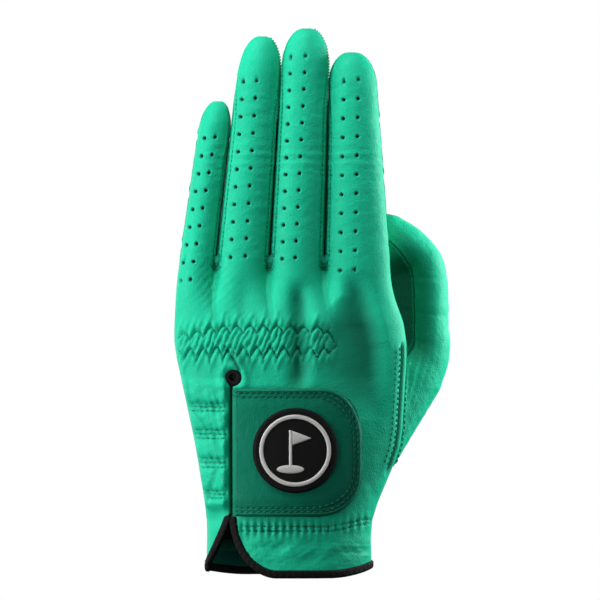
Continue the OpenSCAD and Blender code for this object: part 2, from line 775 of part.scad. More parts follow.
// The sewn edge of the thumb: along the hand's side line in front, along the thumb hole on the palm
function thumb_edge(a, o) =
    a < 180
    ? let (z = hole_z(a, -seam_gap)) [right_at(z) + o, seam_gap, z]
    : let (
        z = hole_z(a, -seam_gap),
        x = hole_x(a, -seam_gap)
    ) [x + (a < 200 || a > 340 ? o : 0), max(seam_gap, skin_at(x, z, 1, o)), z];

thumb_cols = 8;
thumb_turn = 0.8;
function inner_a(j, sweep) = mix(360 - sweep + thumb_turn, 360 + sweep - thumb_turn, j / thumb_cols);
function outer_a(j, sweep) = mix(sweep + thumb_turn, 360 - sweep - thumb_turn, j / thumb_cols);
function wrap(a) = a >= 360 ? a - 360 : a;

module thumb_base(inner_side) {
    function angle(j) = wrap(inner_side ? inner_a(j, thumb_sweep) : outer_a(j, thumb_sweep));
    function row(k, o) = [for (j = [thumb_cols:-1:0]) thumb_ring(k, angle(j), o)];
    function edge(o) = [for (j = [thumb_cols:-1:0]) thumb_edge(angle(j), o)];
    function grid(o) = [edge(o), mix_rows(edge(o), row(0, o), 0.5), row(0, o), row(thumb_cut, o)];
    color("mediumseagreen") sheet_solid(grid(0), grid(-leather_t));
}
function mix_rows(a, b, t) = [for (i = [0:len(a) - 1]) mix(a[i], b[i], t)];

module thumb_upper(inner_side) {
    function sweep(k) = mix(thumb_sweep, 90 - thumb_turn, ease((k - 3) / 4));
    function angle(j, k) = wrap(inner_side ? inner_a(j, sweep(k)) : outer_a(j, sweep(k)));
    function row(k, o) = [
        for (j = [thumb_cols:-1:0])
            thumb_ring(k, angle(j, k), o) + (k == thumb_cut ? joint_gap * thumb_way(k) : [0, 0, 0])
    ];
    function cap(t, o) = [for (j = [thumb_cols:-1:0]) thumb_end(t, angle(j, thumb_last), o)];
    function grid(o) = concat(
        [for (k = [thumb_cut:thumb_last]) row(k, o)],
        [for (t = [22.5:22.5:90]) cap(t, o)]
    );
    color("mediumseagreen") sheet_solid(grid(0), grid(-leather_t));
}
module thumb_base_inner() { thumb_base(true); }
module thumb_base_outer() { thumb_base(false); }
module thumb_inner() { thumb_upper(true); }
module thumb_outer() { thumb_upper(false); }

back_panel();
palm_panel();
hem_binding();
notch_binding();
keyhole_binding();
knuckle_elastic();
side_elastics();
wrist_elastic();
palm_elastic();
loop_patch();
little_ring_fourchette();
ring_middle_fourchette();
middle_index_fourchette();
thumb_base_inner();
thumb_base_outer();
tab_leather();
tab_lining();
hook_patch();
badge_disc();
badge_ring();
badge_motif();
little_back();
little_palm();
little_fourchette();
ring_back();
ring_palm();
ring_fourchettes();
middle_back();
middle_palm();
middle_fourchettes();
index_back();
index_palm();
index_fourchette();
thumb_inner();
thumb_outer();
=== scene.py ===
"""Golf glove: leather, seams, gathers, bindings, wrist tab and badge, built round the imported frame."""
import math

import bpy
import numpy as np
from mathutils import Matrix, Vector
from mathutils.kdtree import KDTree


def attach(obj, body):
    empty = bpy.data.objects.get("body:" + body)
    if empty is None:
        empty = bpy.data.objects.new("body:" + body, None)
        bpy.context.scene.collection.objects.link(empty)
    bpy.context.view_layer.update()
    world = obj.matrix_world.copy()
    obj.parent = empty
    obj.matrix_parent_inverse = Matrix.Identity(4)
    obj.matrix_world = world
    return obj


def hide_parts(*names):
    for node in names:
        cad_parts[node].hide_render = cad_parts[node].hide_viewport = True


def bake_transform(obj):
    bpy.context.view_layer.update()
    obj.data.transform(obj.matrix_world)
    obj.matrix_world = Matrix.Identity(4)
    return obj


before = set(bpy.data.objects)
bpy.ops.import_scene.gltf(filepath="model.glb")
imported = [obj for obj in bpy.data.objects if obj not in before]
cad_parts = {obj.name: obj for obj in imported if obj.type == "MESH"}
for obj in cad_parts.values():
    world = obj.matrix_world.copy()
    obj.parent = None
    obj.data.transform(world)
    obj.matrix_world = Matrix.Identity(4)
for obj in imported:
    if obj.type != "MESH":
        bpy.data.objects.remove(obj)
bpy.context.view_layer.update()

bl_info = {
    "name": "Golf glove",
    "version": (1, 0, 0),
    "blender": (4, 5, 0),
    "location": "View3D > Sidebar > Glove",
    "description": "Builds a leather golf glove round its construction frame",
    "category": "Object",
}

MM = 0.001
FINGERS = ("little", "ring", "middle", "index")
# the two sides of the hand, as signs along y
BACK, PALM = -1, 1


def length(name, value, description):
    """A length property in metres."""
    return bpy.props.FloatProperty(name=name, default=value, description=description, unit="LENGTH")


def colour(name, value, description):
    """A linear colour property."""
    return bpy.props.FloatVectorProperty(
        name=name, default=value, description=description, subtype="COLOR", size=3, min=0, max=1
    )


class GloveSizes(bpy.types.PropertyGroup):
    """Sizes of the glove's leather and trimmings."""

    leather: length("Leather", 0.0008, "Thickness of the leather")
    cuff_w: length("Cuff width", 0.0695, "Width of the cuff at the hem")
    cuff_d: length("Cuff depth", 0.042, "Depth of the cuff at the hem")
    wrist_h: length("Wrist height", 0.024, "Height of the narrowest part of the wrist")
    wrist_w: length("Wrist width", 0.0685, "Width of the wrist")
    wrist_d: length("Wrist depth", 0.040, "Depth of the wrist")
    heel_h: length("Heel height", 0.055, "Height of the heel of the hand")
    heel_w: length("Heel width", 0.0865, "Width of the heel of the hand")
    heel_shift: length("Heel shift", 0.004, "Shift of the heel towards the thumb")
    heel_d: length("Heel depth", 0.038, "Depth of the heel of the hand")
    palm_h: length("Palm height", 0.099, "Height of the widest part of the palm")
    palm_w: length("Palm width", 0.0985, "Width of the palm")
    palm_d: length("Palm depth", 0.033, "Depth of the palm")
    web_h: length("Web height", 0.1315, "Height of the webs between the fingers")
    web_gap: length("Web gap", 0.001, "Gap between two fingers at the web")
    tab_base_h: length("Tab height", 0.0265, "Height of the tab's lower edge")
    tab_w: length("Tab width", 0.0536, "Width of the wrist tab")
    tab_h: length("Tab length", 0.053, "Length of the wrist tab along the hand")
    slit_x: length("Slit place", 0.0242, "Distance of the slit from the cuff's middle")
    badge_dia: length("Badge", 0.0355, "Diameter of the badge")
    ring_dia: length("Badge ring", 0.0282, "Diameter of the embroidered ring")
    vent_dia: length("Vent", 0.0014, "Diameter of a vent hole")
    stitch: length("Stitch", 0.0026, "Pitch of a stitch row")


class GloveColours(bpy.types.PropertyGroup):
    """Colours of the glove's materials, linear."""

    leather: colour("Leather", (0.013, 0.60, 0.348), "Face of the leather")
    deep: colour("Leather shade", (0.007, 0.46, 0.268), "Leather where it is worn darker")
    tab: colour("Tab leather", (0.0015, 0.235, 0.134), "Darker leather of the wrist tab")
    inside: colour("Leather inside", (0.004, 0.17, 0.115), "Suede side of the leather")
    thread: colour("Thread", (0.002, 0.34, 0.20), "Sewing thread")
    binding: colour("Binding", (0.0012, 0.0012, 0.0013), "Woven edge binding")
    badge: colour("Badge", (0.0012, 0.0012, 0.0013), "Twill of the badge")
    white: colour("Badge thread", (0.80, 0.80, 0.78), "White embroidery thread")
    tape: colour("Tape", (0.003, 0.17, 0.11), "Hook and loop tape")


# ---- small maths ----
def mix(a, b, t):
    return a * (1 - t) + b * t


def ease(t):
    c = np.clip(t, 0, 1)
    return c * c * (3 - 2 * c)


def bump(d, w):
    """exp(-(d / w)^2), a soft ridge of half width w."""
    return np.exp(-(d / w) ** 2)


def sind(a):
    return np.sin(np.radians(a))


def cosd(a):
    return np.cos(np.radians(a))


def wave_noise(x, z, seed, scale, octaves=3):
    """Smooth seeded noise in about -1..1: a sum of turned sine products, each octave twice as fine."""
    rng = np.random.default_rng(seed)
    total = np.zeros(np.broadcast(x, z).shape)
    for octave in range(octaves):
        for _ in range(3):
            angle = rng.uniform(0, math.pi)
            shift = rng.uniform(0, 2 * math.pi, 2)
            k = 2 * math.pi / scale * 2**octave
            u = x * math.cos(angle) + z * math.sin(angle)
            v = -x * math.sin(angle) + z * math.cos(angle)
            total += np.sin(k * u + shift[0]) * np.cos(0.7 * k * v + shift[1]) / 2**octave
    return total / 3


def wave(x, pitch):
    """cos of one full turn over each pitch of x."""
    return np.cos(2 * math.pi * x / pitch)


def unit(v):
    """The vectors along the last axis, each divided by its length."""
    return v / np.maximum(np.linalg.norm(v, axis=-1, keepdims=True), 1e-9)


def grid_normals(p):
    """Unit normals of a grid p[row, column, 3], the cross product of its two central differences."""
    return unit(np.cross(np.gradient(p, axis=1), np.gradient(p, axis=0)))


def facing(p, side, slack=0.0):
    """A grid's normals, each turned over where it points against side along y by more than slack."""
    n = -grid_normals(p)
    return np.where(side * n[..., 1:2] < -slack, -n, n)


def travelled(points):
    """Distance along a polyline at each of its points: the running sum of its segments' lengths."""
    return np.concatenate([[0], np.cumsum(np.linalg.norm(np.diff(points, axis=0), axis=1))])


def resample(points, dist, at):
    """The polyline's points at the distances at, read between the two nearest ones."""
    return np.stack([np.interp(at, dist, column) for column in points.T], -1)


class Form:
    """The glove's surfaces in millimetres.

    The hand is a superellipse ring at each height, and each finger an ellipse. Rows of four values run from the
    little finger to the index finger.
    """

    def __init__(self, s):
        v = {name: getattr(s, name) * 1000 for name in GloveSizes.__annotations__}
        self.v = v
        self.leather = v["leather"]
        self.slit = -v["slit_x"]
        self.tab_low = v["tab_base_h"]
        self.tab_top = v["tab_base_h"] + v["tab_h"]
        self.widths = (15.0, 21.4, 22.0, 27.2)
        self.tips = (13.4, 18.0, 19.4, 20.2)
        self.depths = (16.0, 17.4, 18.0, 18.0)
        self.lengths = (68.5, 95.7, 99.0, 89.0)
        self.leans = (7.3, 4.9, 2.4, -1.5)
        self.settings = (3.5, 1.0, 0.0, 0.6)
        self.joints = (0.43, 0.41, 0.42, 0.41)
        self.shoulders = (0.79, 0.8, 0.83, 0.83)
        self.web = v["web_h"]
        self.web_w = sum(self.widths) + 3 * v["web_gap"]
        self.web_left = -self.web_w / 2 - 1.9
        self.hs = [0, v["wrist_h"], v["heel_h"], v["palm_h"], self.web]
        halves = [v[name] / 2 for name in ("cuff_w", "wrist_w", "heel_w", "palm_w")]
        shifts = (0, 0, v["heel_shift"], 0.5)
        self.ls = [half - shift for half, shift in zip(halves, shifts)] + [-self.web_left]
        self.rs = [half + shift for half, shift in zip(halves, shifts)] + [self.web_left + self.web_w]
        self.ds = [v[name] / 2 for name in ("cuff_d", "wrist_d", "heel_d", "palm_d")] + [self.depths[2] / 2 + 1.5]

    def soft(self, z, line):
        """A line over the heights hs, its corners rounded by the mean over 7 mm below and above."""
        below, here, above = (np.interp(z + step, self.hs, line) for step in (-7, 0, 7))
        return (below + 2 * here + above) / 4

    def left(self, z):
        return self.soft(z, self.ls)

    def right(self, z):
        return self.soft(z, self.rs)

    def depth(self, z):
        return self.soft(z, self.ds)

    def hand(self, s, z, side, o=0.0):
        """x runs across by the share s, y = side (depth + o) (1 - |2s - 1|^2.3)^(1/2.3)."""
        l = self.left(z) + o
        r = self.right(z) + o
        y = side * (self.depth(z) + o) * np.maximum(0, 1 - np.abs(2 * s - 1) ** 2.3) ** (1 / 2.3)
        return np.stack(np.broadcast_arrays(-l + (l + r) * s, y, z), -1)

    def hand_at(self, x, z, side, o=0.0):
        l = self.left(z) + o
        r = self.right(z) + o
        return self.hand(np.clip((x + l) / (l + r), 0.0001, 0.9999), z, side, o)

    def base_x(self, f):
        return self.web_left + sum(self.widths[:f]) + f * self.v["web_gap"] + self.widths[f] / 2

    def shoulder(self, f):
        return self.web + self.lengths[f] * self.shoulders[f]

    def joint(self, f):
        return self.web + self.lengths[f] * self.joints[f]

    def tip(self, f):
        return self.web + self.lengths[f]

    def cx(self, f, z):
        return self.base_x(f) + (z - self.web) * math.tan(math.radians(self.leans[f]))

    def cy(self, f, z):
        t = np.clip((z - self.web) / self.lengths[f], 0, 1)
        return self.settings[f] * ease((z - self.web + 20) / 45) + 4 * t**2

    def half_w(self, f, z):
        t = np.clip((z - self.web) / (self.shoulder(f) - self.web), 0, 1)
        return mix(self.widths[f], self.tips[f], t) / 2

    def half_d(self, f, z):
        return self.depths[f] / 2 * mix(1.04, 0.9, np.clip((z - self.web) / self.lengths[f], 0, 1))

    def finger(self, f, phi, s, o=0.0):
        """Ellipse ring at the angle phi from the back, at the row s.

        s is 0 at the web, 1 at the joint, 2 at the shoulder and 3 at the tip, where the ring shrinks as a quarter
        circle.
        """
        z0 = self.shoulder(f)
        cap = s > 2
        t = np.clip(90 * (s - 2), 0, 90)
        straight = np.where(
            s < 1, mix(self.web, self.joint(f), s), mix(self.joint(f), z0, np.clip(s - 1, 0, 1))
        )
        z = np.where(cap, z0 + (self.tip(f) - z0 + o) * sind(t), straight)
        ring = np.where(cap, z0, z)
        a, b = self.half_w(f, ring) + o, self.half_d(f, ring) + o
        a = np.where(cap, 0.9 + (a - 0.9) * cosd(t) ** 0.92, a)
        b = np.where(cap, 0.1 + (b - 0.1) * cosd(t) ** 0.8, b)
        return np.stack([self.cx(f, z) + a * sind(phi), self.cy(f, z) - b * cosd(phi), z], -1)

    def closing(self, sweep, s):
        return mix(sweep, 89.3, ease((s - 1.5) / 0.6))

    def edges(self, f, s):
        """Angles of the four seams: back left, back right, palm right, palm left."""
        bl = np.full_like(s, -90.0) if f == 0 else -self.closing(72, s)
        br = np.full_like(s, 90.0) if f == 3 else self.closing(72, s)
        pr = np.full_like(s, 90.0) if f == 3 else 180 - self.closing(55, s)
        pl = np.full_like(s, 270.0) if f == 0 else 180 + self.closing(55, s)
        return bl, br, pr, pl

    def panel(self, f, phi, z, side, o=0.0):
        """The hand's skin, turning into the finger's arch over the last 26 mm below the web."""
        w = ease((z - self.web + 26) / 26)[..., None]
        x = self.cx(f, z) + (self.half_w(f, z) + o) * sind(phi)
        y = self.cy(f, z) - (self.half_d(f, z) + o) * cosd(phi)
        share = (self.base_x(f) + self.widths[f] / 2 * sind(phi) - self.web_left) / self.web_w
        return mix(self.hand(share, z, side, o), np.stack([x, y, z + 0 * x], -1), w)


# ---- details of the back of the hand, all read in the front view, x across and z up ----
def vent_places():
    """Two rows of vent holes on each finger: rows, lowest and highest height, and x of the pair at both ends."""
    rows = (
        (9, 124.4, 184.2, (-45.6, -41.3), (-35.6, -31.0)),
        (11, 134.2, 207.8, (-24.6, -18.2), (-19.4, -13.6)),
        (13, 133.5, 218.2, (-3.0, 2.7), (0.6, 7.0)),
        (11, 128.6, 208.2, (21.3, 27.6), (23.0, 29.2)),
    )
    out = []
    for count, z0, z1, low, high in rows:
        t = np.linspace(0, 1, count)
        for k in (0, 1):
            out.append(np.stack([mix(low[k], high[k], t), mix(z0, z1, t) + 0.5 * k], -1))
    return np.concatenate(out)


PLEAT = 5.6
ZIG_LEFT, ZIG_RIGHT = -47.5, 20.2


def zigzag(x):
    """Heights of the two gathered seams across the knuckles, and how far inside the band x lies, 0 to 1."""
    tri = np.abs(((x - ZIG_RIGHT) / PLEAT) % 1 - 0.5) * 2
    shut = ease((ZIG_RIGHT + 1.2 - x) / 7)
    upper = mix(97.5, 102.2 + 3.4 * (1 - tri**1.5) - 3.0 * ease((-28 - x) / 16), shut)
    low = np.abs(((x - ZIG_RIGHT) / PLEAT + 0.5) % 1 - 0.5) * 2
    lower = mix(97.2, 92.0 + 4.6 * (1 - low**1.5) - 0.8 * ease((-30 - x) / 12), shut)
    return upper, lower, ease((x - ZIG_LEFT) / 3) * ease((ZIG_RIGHT + 0.5 - x) / 1.5)


def thumb_seam(g, z):
    """x of the double stitched seam beside the thumb."""
    return g.right(z) - 3.0


def wrist_lift(x):
    """How far the double row over the wrist elastic rises towards the thumb."""
    return 2.6 * ease((x - 16) / 18)


WRIST_ROWS = (20.0, 21.9)
# middle height and half width of each side elastic's rows
ELASTICS = ((71.6, 2.0), (60.3, 2.3), (48.3, 2.4), (35.1, 1.9))


def hollows(x, z):
    """Depth of the hollows between the knuckles, and of the long one beside the index finger's metacarpal."""
    deep = np.interp(z, [50, 66, 84, 106, 119, 129], [0, 0.9, 4.6, 5.6, 3.2, 0])
    centre = np.interp(z, [60, 96, 117, 128], [35, 34, 28.5, 27])
    wide = np.interp(z, [60, 100, 118], [32, 32, 7])
    long_one = deep * ease((x - centre + wide) / wide) * ease((centre + 9.5 - x) / 9.5)
    knuckles = 3.6 * bump(x - 4.4, 3.8) * ease((127 - z) / 12) * ease((z - 74) / 12)
    return long_one + knuckles + 1.0 * bump(x + 19, 4.0) * bump(z - 117, 8)


class Relief:
    """The relief h of a sheet in millimetres and its tone, painted shade: 0 plain, up to 1 dark as in a hole."""

    def __init__(self, h):
        self.h, self.tone = h, np.zeros_like(h)

    def add(self, h, tone=0.0):
        self.h = self.h + h
        self.tone = np.maximum(self.tone, tone)


def gathered_band(r, x, z):
    """The two zigzag seams across the knuckles, pleats between them, and ripples fading out above and below, with
    painted shade in the pleats' valleys and along both seams.
    """
    upper, lower, on = zigzag(x)
    inside = ease((upper - z) / 1.2) * ease((z - lower) / 1.2) * on
    pleat = np.cos(math.pi * (x - 0.42 * (z - (upper + lower) / 2) + 0.5 * wave_noise(x, z, 7, 11)) / 2.45)
    # painted shade in the valleys between the pleats
    r.add(
        inside * (0.95 * np.abs(pleat) ** 0.6 - 0.25 + 0.25 * wave_noise(x, z, 9, 5)), 0.22 * inside * bump(pleat, 0.3)
    )
    for line in (upper, lower):
        r.add(-0.8 * bump(z - line, 0.75) * on, 0.36 * bump(z - line, 0.45) * on)
    ripple = np.cos(2 * math.pi * (x - 0.35 * (z - 100)) / (PLEAT / 2) + 1.4 * wave_noise(x, z, 8, 18))
    for away in ((z - upper) / 10, (lower - z) / 9):
        r.add(0.36 * ripple * (away > 0) * (1 - np.clip(away, 0, 1)) ** 2 * on)
    r.add(0.5 * on * (bump(z - upper - 3.2, 2.6) + bump(lower - 3 - z, 2.4)))


def side_panel(r, x, z, slit):
    """Stitched elastics with puffs between them, and a long crease, on the panel left of the slit, with painted shade
    along the stitch rows and in the crease.
    """
    side = ease((slit - 1.0 - x) / 1.5) * ease((z - 27) / 4) * ease((84 - z) / 4)
    band = 0
    for centre, half in ELASTICS:
        band = band + bump(z - centre, half + 0.5)
        for row in (-1, 0, 1):
            d = z - centre - row * half * 0.8
            # painted shade along each stitch row's groove
            r.add(-0.42 * side * bump(d, 0.5), 0.3 * side * bump(d, 0.4))
        r.add(0.30 * side * bump(z - centre, half + 1.6) * wave(x + 0.3 * (z - centre), 2.7))
    r.add(side * (1.15 * (1 - np.clip(band, 0, 1)) + 0.34 * wave_noise(x, z, 12, 9)))
    crease = x - np.interp(z, [34, 41, 51, 58, 63, 72, 84], [-34, -31, -28.1, -29.6, -34.9, -40.7, -42.5])
    r.add(-0.55 * side * bump(crease, 1.1), 0.18 * side * bump(crease, 0.8))
    r.add(-1.5 * bump(x + 29 - 0.35 * (z - 28), 4.2) * bump(z - 26.5, 3.4))
    r.add(0.9 * bump(x + 31, 5) * bump(z - 31.5, 2.2))


def slit_and_keyhole(r, x, z, slit, key_z):
    """The slit's gap and the round hole at its upper end, both painted dark as shade, and the fold that runs up from
    it, with painted shade in and beside its crease.
    """
    on = ease(key_z - z) * ease((z - 24) / 1.5)
    across = x - slit
    # painted shade: the slit's groove and the hole inside the keyhole ring are painted dark
    r.add(
        on * (0.85 * bump(across + 3.0, 2.0) * ease(-across) - 2.4 * bump(across, 0.55)),
        on * np.clip(1.25 * bump(across, 0.62), 0, 1),
    )
    key = np.hypot(across - 0.9, z - key_z - 0.3)
    r.add(0.55 * bump(key - 5.4, 1.5) - 1.3 * ease((3.9 - key) / 1.3), ease((3.5 - key) / 0.5))
    fold = x - np.interp(z, [80, 87, 92, 97, 101], [-20.5, -20.6, -23.4, -26.6, -29])
    r.add(
        0.95 * bump(fold - 1.7, 1.3) * bump(z - 91, 6) - 1.5 * bump(fold, 1.0) * bump(z - 91.5, 6),
        0.75 * bump(fold, 0.8) * bump(z - 90.5, 5) + 0.3 * bump(fold - 4, 3.5) * bump(z - 92, 4),
    )


def wrist_band(r, x, z, slit):
    """The double row over the wrist elastic and the crumpled cuff below it, with painted shade along both rows."""
    on = ease((x - slit - 2) / 3) * ease((37 - x) / 4)
    level = z - wrist_lift(x)
    for row in WRIST_ROWS:
        r.add(-0.45 * on * bump(level - row, 0.5), 0.25 * on * bump(level - row, 0.4))
    r.add(0.36 * on * bump(level - 21, 3.2) * wave(x, 3.0))
    r.add(0.75 * on * bump(z - 12, 6) * wave_noise(x * 0.8, z * 1.6, 21, 15))
    r.add(0.30 * ease((x - 26) / 8) * bump(z - 32, 9) * wave_noise(x * 1.3, z * 0.8, 25, 13))


def fine_creases(r, x, z):
    """Creases by the little finger's web and across the knuckles."""
    diag = (x + 30) * 0.72 - (z - 124) * 0.69 + 0.5 * wave_noise(x, z, 30, 16)
    r.add(0.15 * bump(x + 31, 8) * bump(z - 122, 8) * np.sin(2 * math.pi * diag / 2.7) ** 3)
    r.add(0.10 * bump(x + 18, 9) * bump(z - 108, 5) * np.sin(2 * math.pi * diag / 2.2) ** 3)
    r.add(0.12 * bump(z - 176, 5) * np.sin(2 * math.pi * z / 4.2 + wave_noise(x, z, 31, 12)))


def back_detail(x, z, g):
    """Height and tone of the relief on the back of the glove: the sum of its features, and their darkest tone, which is
    painted shade.
    """
    r = Relief(0.10 * wave_noise(x, z, 3, 26) + 0.045 * wave_noise(x, z, 5, 7))
    gathered_band(r, x, z)
    side_panel(r, x, z, g.slit)
    slit_and_keyhole(r, x, z, g.slit, g.tab_top + 4)
    wrist_band(r, x, z, g.slit)
    fine_creases(r, x, z)
    # edge of the leather under the thumb seam, on the right, with a painted shadow of the edge on the strip to its
    # right
    seam = x - thumb_seam(g, z)
    on = ease((99 - z) / 3) * ease((z - 42) / 5)
    r.add(on * (0.35 * bump(seam + 0.7, 1.3) - 1.5 * bump(seam - 1.3, 0.55)), 0.8 * on * ease((seam - 0.7) / 0.5))
    low = hollows(x, z)
    # the hollows sink in and are painted darker in step with their depth, painted shade
    r.add(-low, 0.125 * low)
    # vent holes: shallow dimples painted near black, painted shade in place of open holes
    for px, pz in vent_places():
        inside = g.v["vent_dia"] / 2 - np.hypot(x - px, z - pz)
        r.add(-1.1 * ease((inside + 0.25) / 0.5), ease((inside + 0.2) / 0.3))
    return r.h, r.tone


# ---- meshes ----
def new_object(name, verts, faces, tone=None, smooth=None):
    """A mesh object from vertices in metres and lists of faces.

    tone is a value per vertex that the materials read, painted shade above zero and suede below it, and smooth tells a
    shell's skins from its walls.
    """
    mesh = bpy.data.meshes.new(name)
    mesh.from_pydata(np.asarray(verts).tolist(), [], faces)
    if tone is not None:
        layer = mesh.attributes.new("tone", "FLOAT", "POINT")
        layer.data.foreach_set("value", np.asarray(tone, dtype=np.float32).ravel())
    mesh.polygons.foreach_set("use_smooth", np.ones(len(mesh.polygons), bool) if smooth is None else smooth)
    mesh.validate()
    if smooth is not None:
        mesh.set_sharp_from_angle(angle=1.25)
    mesh.update()
    obj = bpy.data.objects.new(name, mesh)
    bpy.context.scene.collection.objects.link(obj)
    return obj


def shell(name, outer, inner, keep=None, tone=None, around=False, pole=None):
    """Closed solid between two grids [row, column, 3] in millimetres: both skins, and a wall along every edge of keep.

    around joins the last column to the first, and pole is the row (0 or -1) that is drawn together in one point.
    """
    rows, cols = outer.shape[:2]
    if keep is None:
        keep = np.ones((rows - 1, cols - 1), bool)
    ids = np.arange(rows * cols).reshape(rows, cols)
    pad = np.pad(keep, 1)
    if around:
        ids[:, -1] = ids[:, 0]
        pad[:, 0], pad[:, -1] = pad[:, -2], pad[:, 1]
    if pole is not None:
        ids[pole] = ids[pole, 0]
        pad[pole] = True
    a, b, c, d = ids[:-1, :-1], ids[1:, :-1], ids[1:, 1:], ids[:-1, 1:]
    n = rows * cols
    quads = [np.stack([a, d, c, b], -1)[keep], np.stack([a + n, b + n, c + n, d + n], -1)[keep]]
    for step, p, q in (((0, 1), a, d), ((1, 0), b, a), ((2, 1), c, b), ((1, 2), d, c)):
        other = pad[step[0]:step[0] + rows - 1, step[1]:step[1] + cols - 1]
        edge = keep & ~other
        quads.append(np.stack([p, p + n, q + n, q], -1)[edge])
    faces = np.concatenate(quads)
    verts = np.concatenate([outer.reshape(-1, 3), inner.reshape(-1, 3)]) * MM
    used, faces = np.unique(faces, return_inverse=True)
    faces = faces.reshape(-1, 4)
    tones = np.zeros(n) if tone is None else tone.ravel()
    smooth = np.arange(len(faces)) < len(quads[0]) + len(quads[1])
    faces = faces.tolist()
    if pole is not None:
        faces = [list(dict.fromkeys(face)) for face in faces]
    return new_object(name, verts[used], faces, np.concatenate([tones, np.full(n, -1.0)])[used], smooth)


def tube(name, path, normal, half_w, half_t, sides=12, closed=False, relief=0.0):
    """A flattened tube along path, in millimetres.

    Its section is half_w wide across the surface and half_t high along the normal, and relief lifts it point by point.
    """
    tangent = unit(np.roll(path, -1, 0) - np.roll(path, 1, 0) if closed else np.gradient(path, axis=0))
    across = unit(np.cross(tangent, normal))
    up = np.cross(across, tangent)
    t = np.arange(sides) * 2 * math.pi / sides
    cw, ct = (np.sign(k) * np.abs(k) ** 0.7 for k in (np.cos(t), np.sin(t)))
    half_w, half_t, relief = (np.broadcast_to(k, len(path))[:, None] for k in (half_w, half_t, relief))
    centre = path + up * relief
    pts = centre[:, None] + (across * half_w)[:, None] * cw[:, None] + (up * half_t)[:, None] * ct[:, None]
    ids = np.arange(len(path) * sides).reshape(-1, sides)
    nxt = np.roll(ids, -1, 1)
    if closed:
        a, b, c, d = ids, nxt, np.roll(nxt, -1, 0), np.roll(ids, -1, 0)
    else:
        a, b, c, d = ids[:-1], nxt[:-1], nxt[1:], ids[1:]
    faces = np.stack([a, d, c, b], -1).reshape(-1, 4).tolist()
    if not closed:
        faces += [ids[0].tolist(), ids[-1][::-1].tolist()]
    return new_object(name, pts.reshape(-1, 3) * MM, faces, np.zeros(ids.size))


class Skin:
    """Looks up the nearest point and normal of a grid in the front view."""

    def __init__(self, points, normals):
        self.p = points.reshape(-1, 3)
        self.n = normals.reshape(-1, 3)
        self.tree = KDTree(len(self.p))
        for i, (x, _, z) in enumerate(self.p):
            self.tree.insert((x, 0, z), i)
        self.tree.balance()

    def at(self, x, z):
        found = [self.tree.find_n((a, 0, b), 3) for a, b in zip(np.ravel(x), np.ravel(z))]
        p = np.array([[self.p[i][1] for _, i, _ in f] for f in found]).mean(1)
        n = np.array([self.n[f[0][1]] for f in found])
        return np.stack([np.ravel(x), p, np.ravel(z)], -1), n


def on_skin(g, x, z):
    """Points and normals on the back's leather, with its relief, below the knuckles' arches."""
    x, z = (np.asarray(k, float) for k in np.broadcast_arrays(x, z))
    e = 0.4
    along_x = g.hand_at(x + e, z, -1) - g.hand_at(x - e, z, -1)
    n = unit(np.cross(along_x, g.hand_at(x, z + e, -1) - g.hand_at(x, z - e, -1)))
    p = g.hand_at(x, z, -1)
    return p + n * (back_detail(x, z, g)[0] * edge_fade(p, g))[..., None], n


def capsules(centres, directions, normals, size, radius):
    """Vertices and faces of one small thread capsule per stitch, five rings of six sides."""
    d = unit(directions)
    s = unit(np.cross(d, normals))
    u = np.cross(s, d)
    ring = np.array([-0.5, -0.38, 0.0, 0.38, 0.5]) * size
    width = np.array([0.25, 0.85, 1.0, 0.85, 0.25]) * radius
    sag = np.array([-0.55, -0.12, 0.0, -0.12, -0.55]) * radius * 1.4
    t = np.arange(6) * math.pi / 3
    pts = (
        centres[:, None, None]
        + d[:, None, None] * ring[None, :, None, None]
        + s[:, None, None] * (width[:, None] * np.cos(t))[None, :, :, None]
        + u[:, None, None] * (width[:, None] * np.sin(t) + sag[:, None])[None, :, :, None]
    )
    base = np.arange(len(centres))[:, None, None] * 30
    ids = np.arange(30).reshape(5, 6)
    nxt = np.roll(ids, -1, 1)
    quads = np.stack([ids[:-1], ids[1:], nxt[1:], nxt[:-1]], -1).reshape(-1, 4)
    faces = (base + quads[None]).reshape(-1, 4).tolist()
    for k in range(len(centres)):
        faces.append(list(range(k * 30 + 5, k * 30 - 1, -1)))
        faces.append(list(range(k * 30 + 24, k * 30 + 30)))
    return pts.reshape(-1, 3), faces


class Threads:
    """Collects stitches for one piece."""

    def __init__(self):
        self.verts, self.faces, self.count = [], [], 0

    def add(self, points, normals, pitch, radius, fill, lift, start=0.0, turn=0.0):
        """Stitches along a polyline with a normal at each of its points.

        Each covers the share fill of the pitch and stands lift radii out; turn slants them across the row.
        """
        dist = travelled(points)
        at = np.arange(start + pitch / 2, dist[-1] - pitch * 0.3, pitch)
        if not len(at):
            return
        p, n = resample(points, dist, at), unit(resample(normals, dist, at))
        d = unit(resample(points, dist, at + pitch / 3) - resample(points, dist, at - pitch / 3))
        verts, faces = capsules(p + n * radius * lift, d + turn * np.cross(n, d), n, pitch * fill, radius)
        self.faces += [[i + self.count for i in face] for face in faces]
        self.verts.append(verts)
        self.count += len(verts)

    def build(self, name):
        return new_object(name, np.concatenate(self.verts) * MM, self.faces)


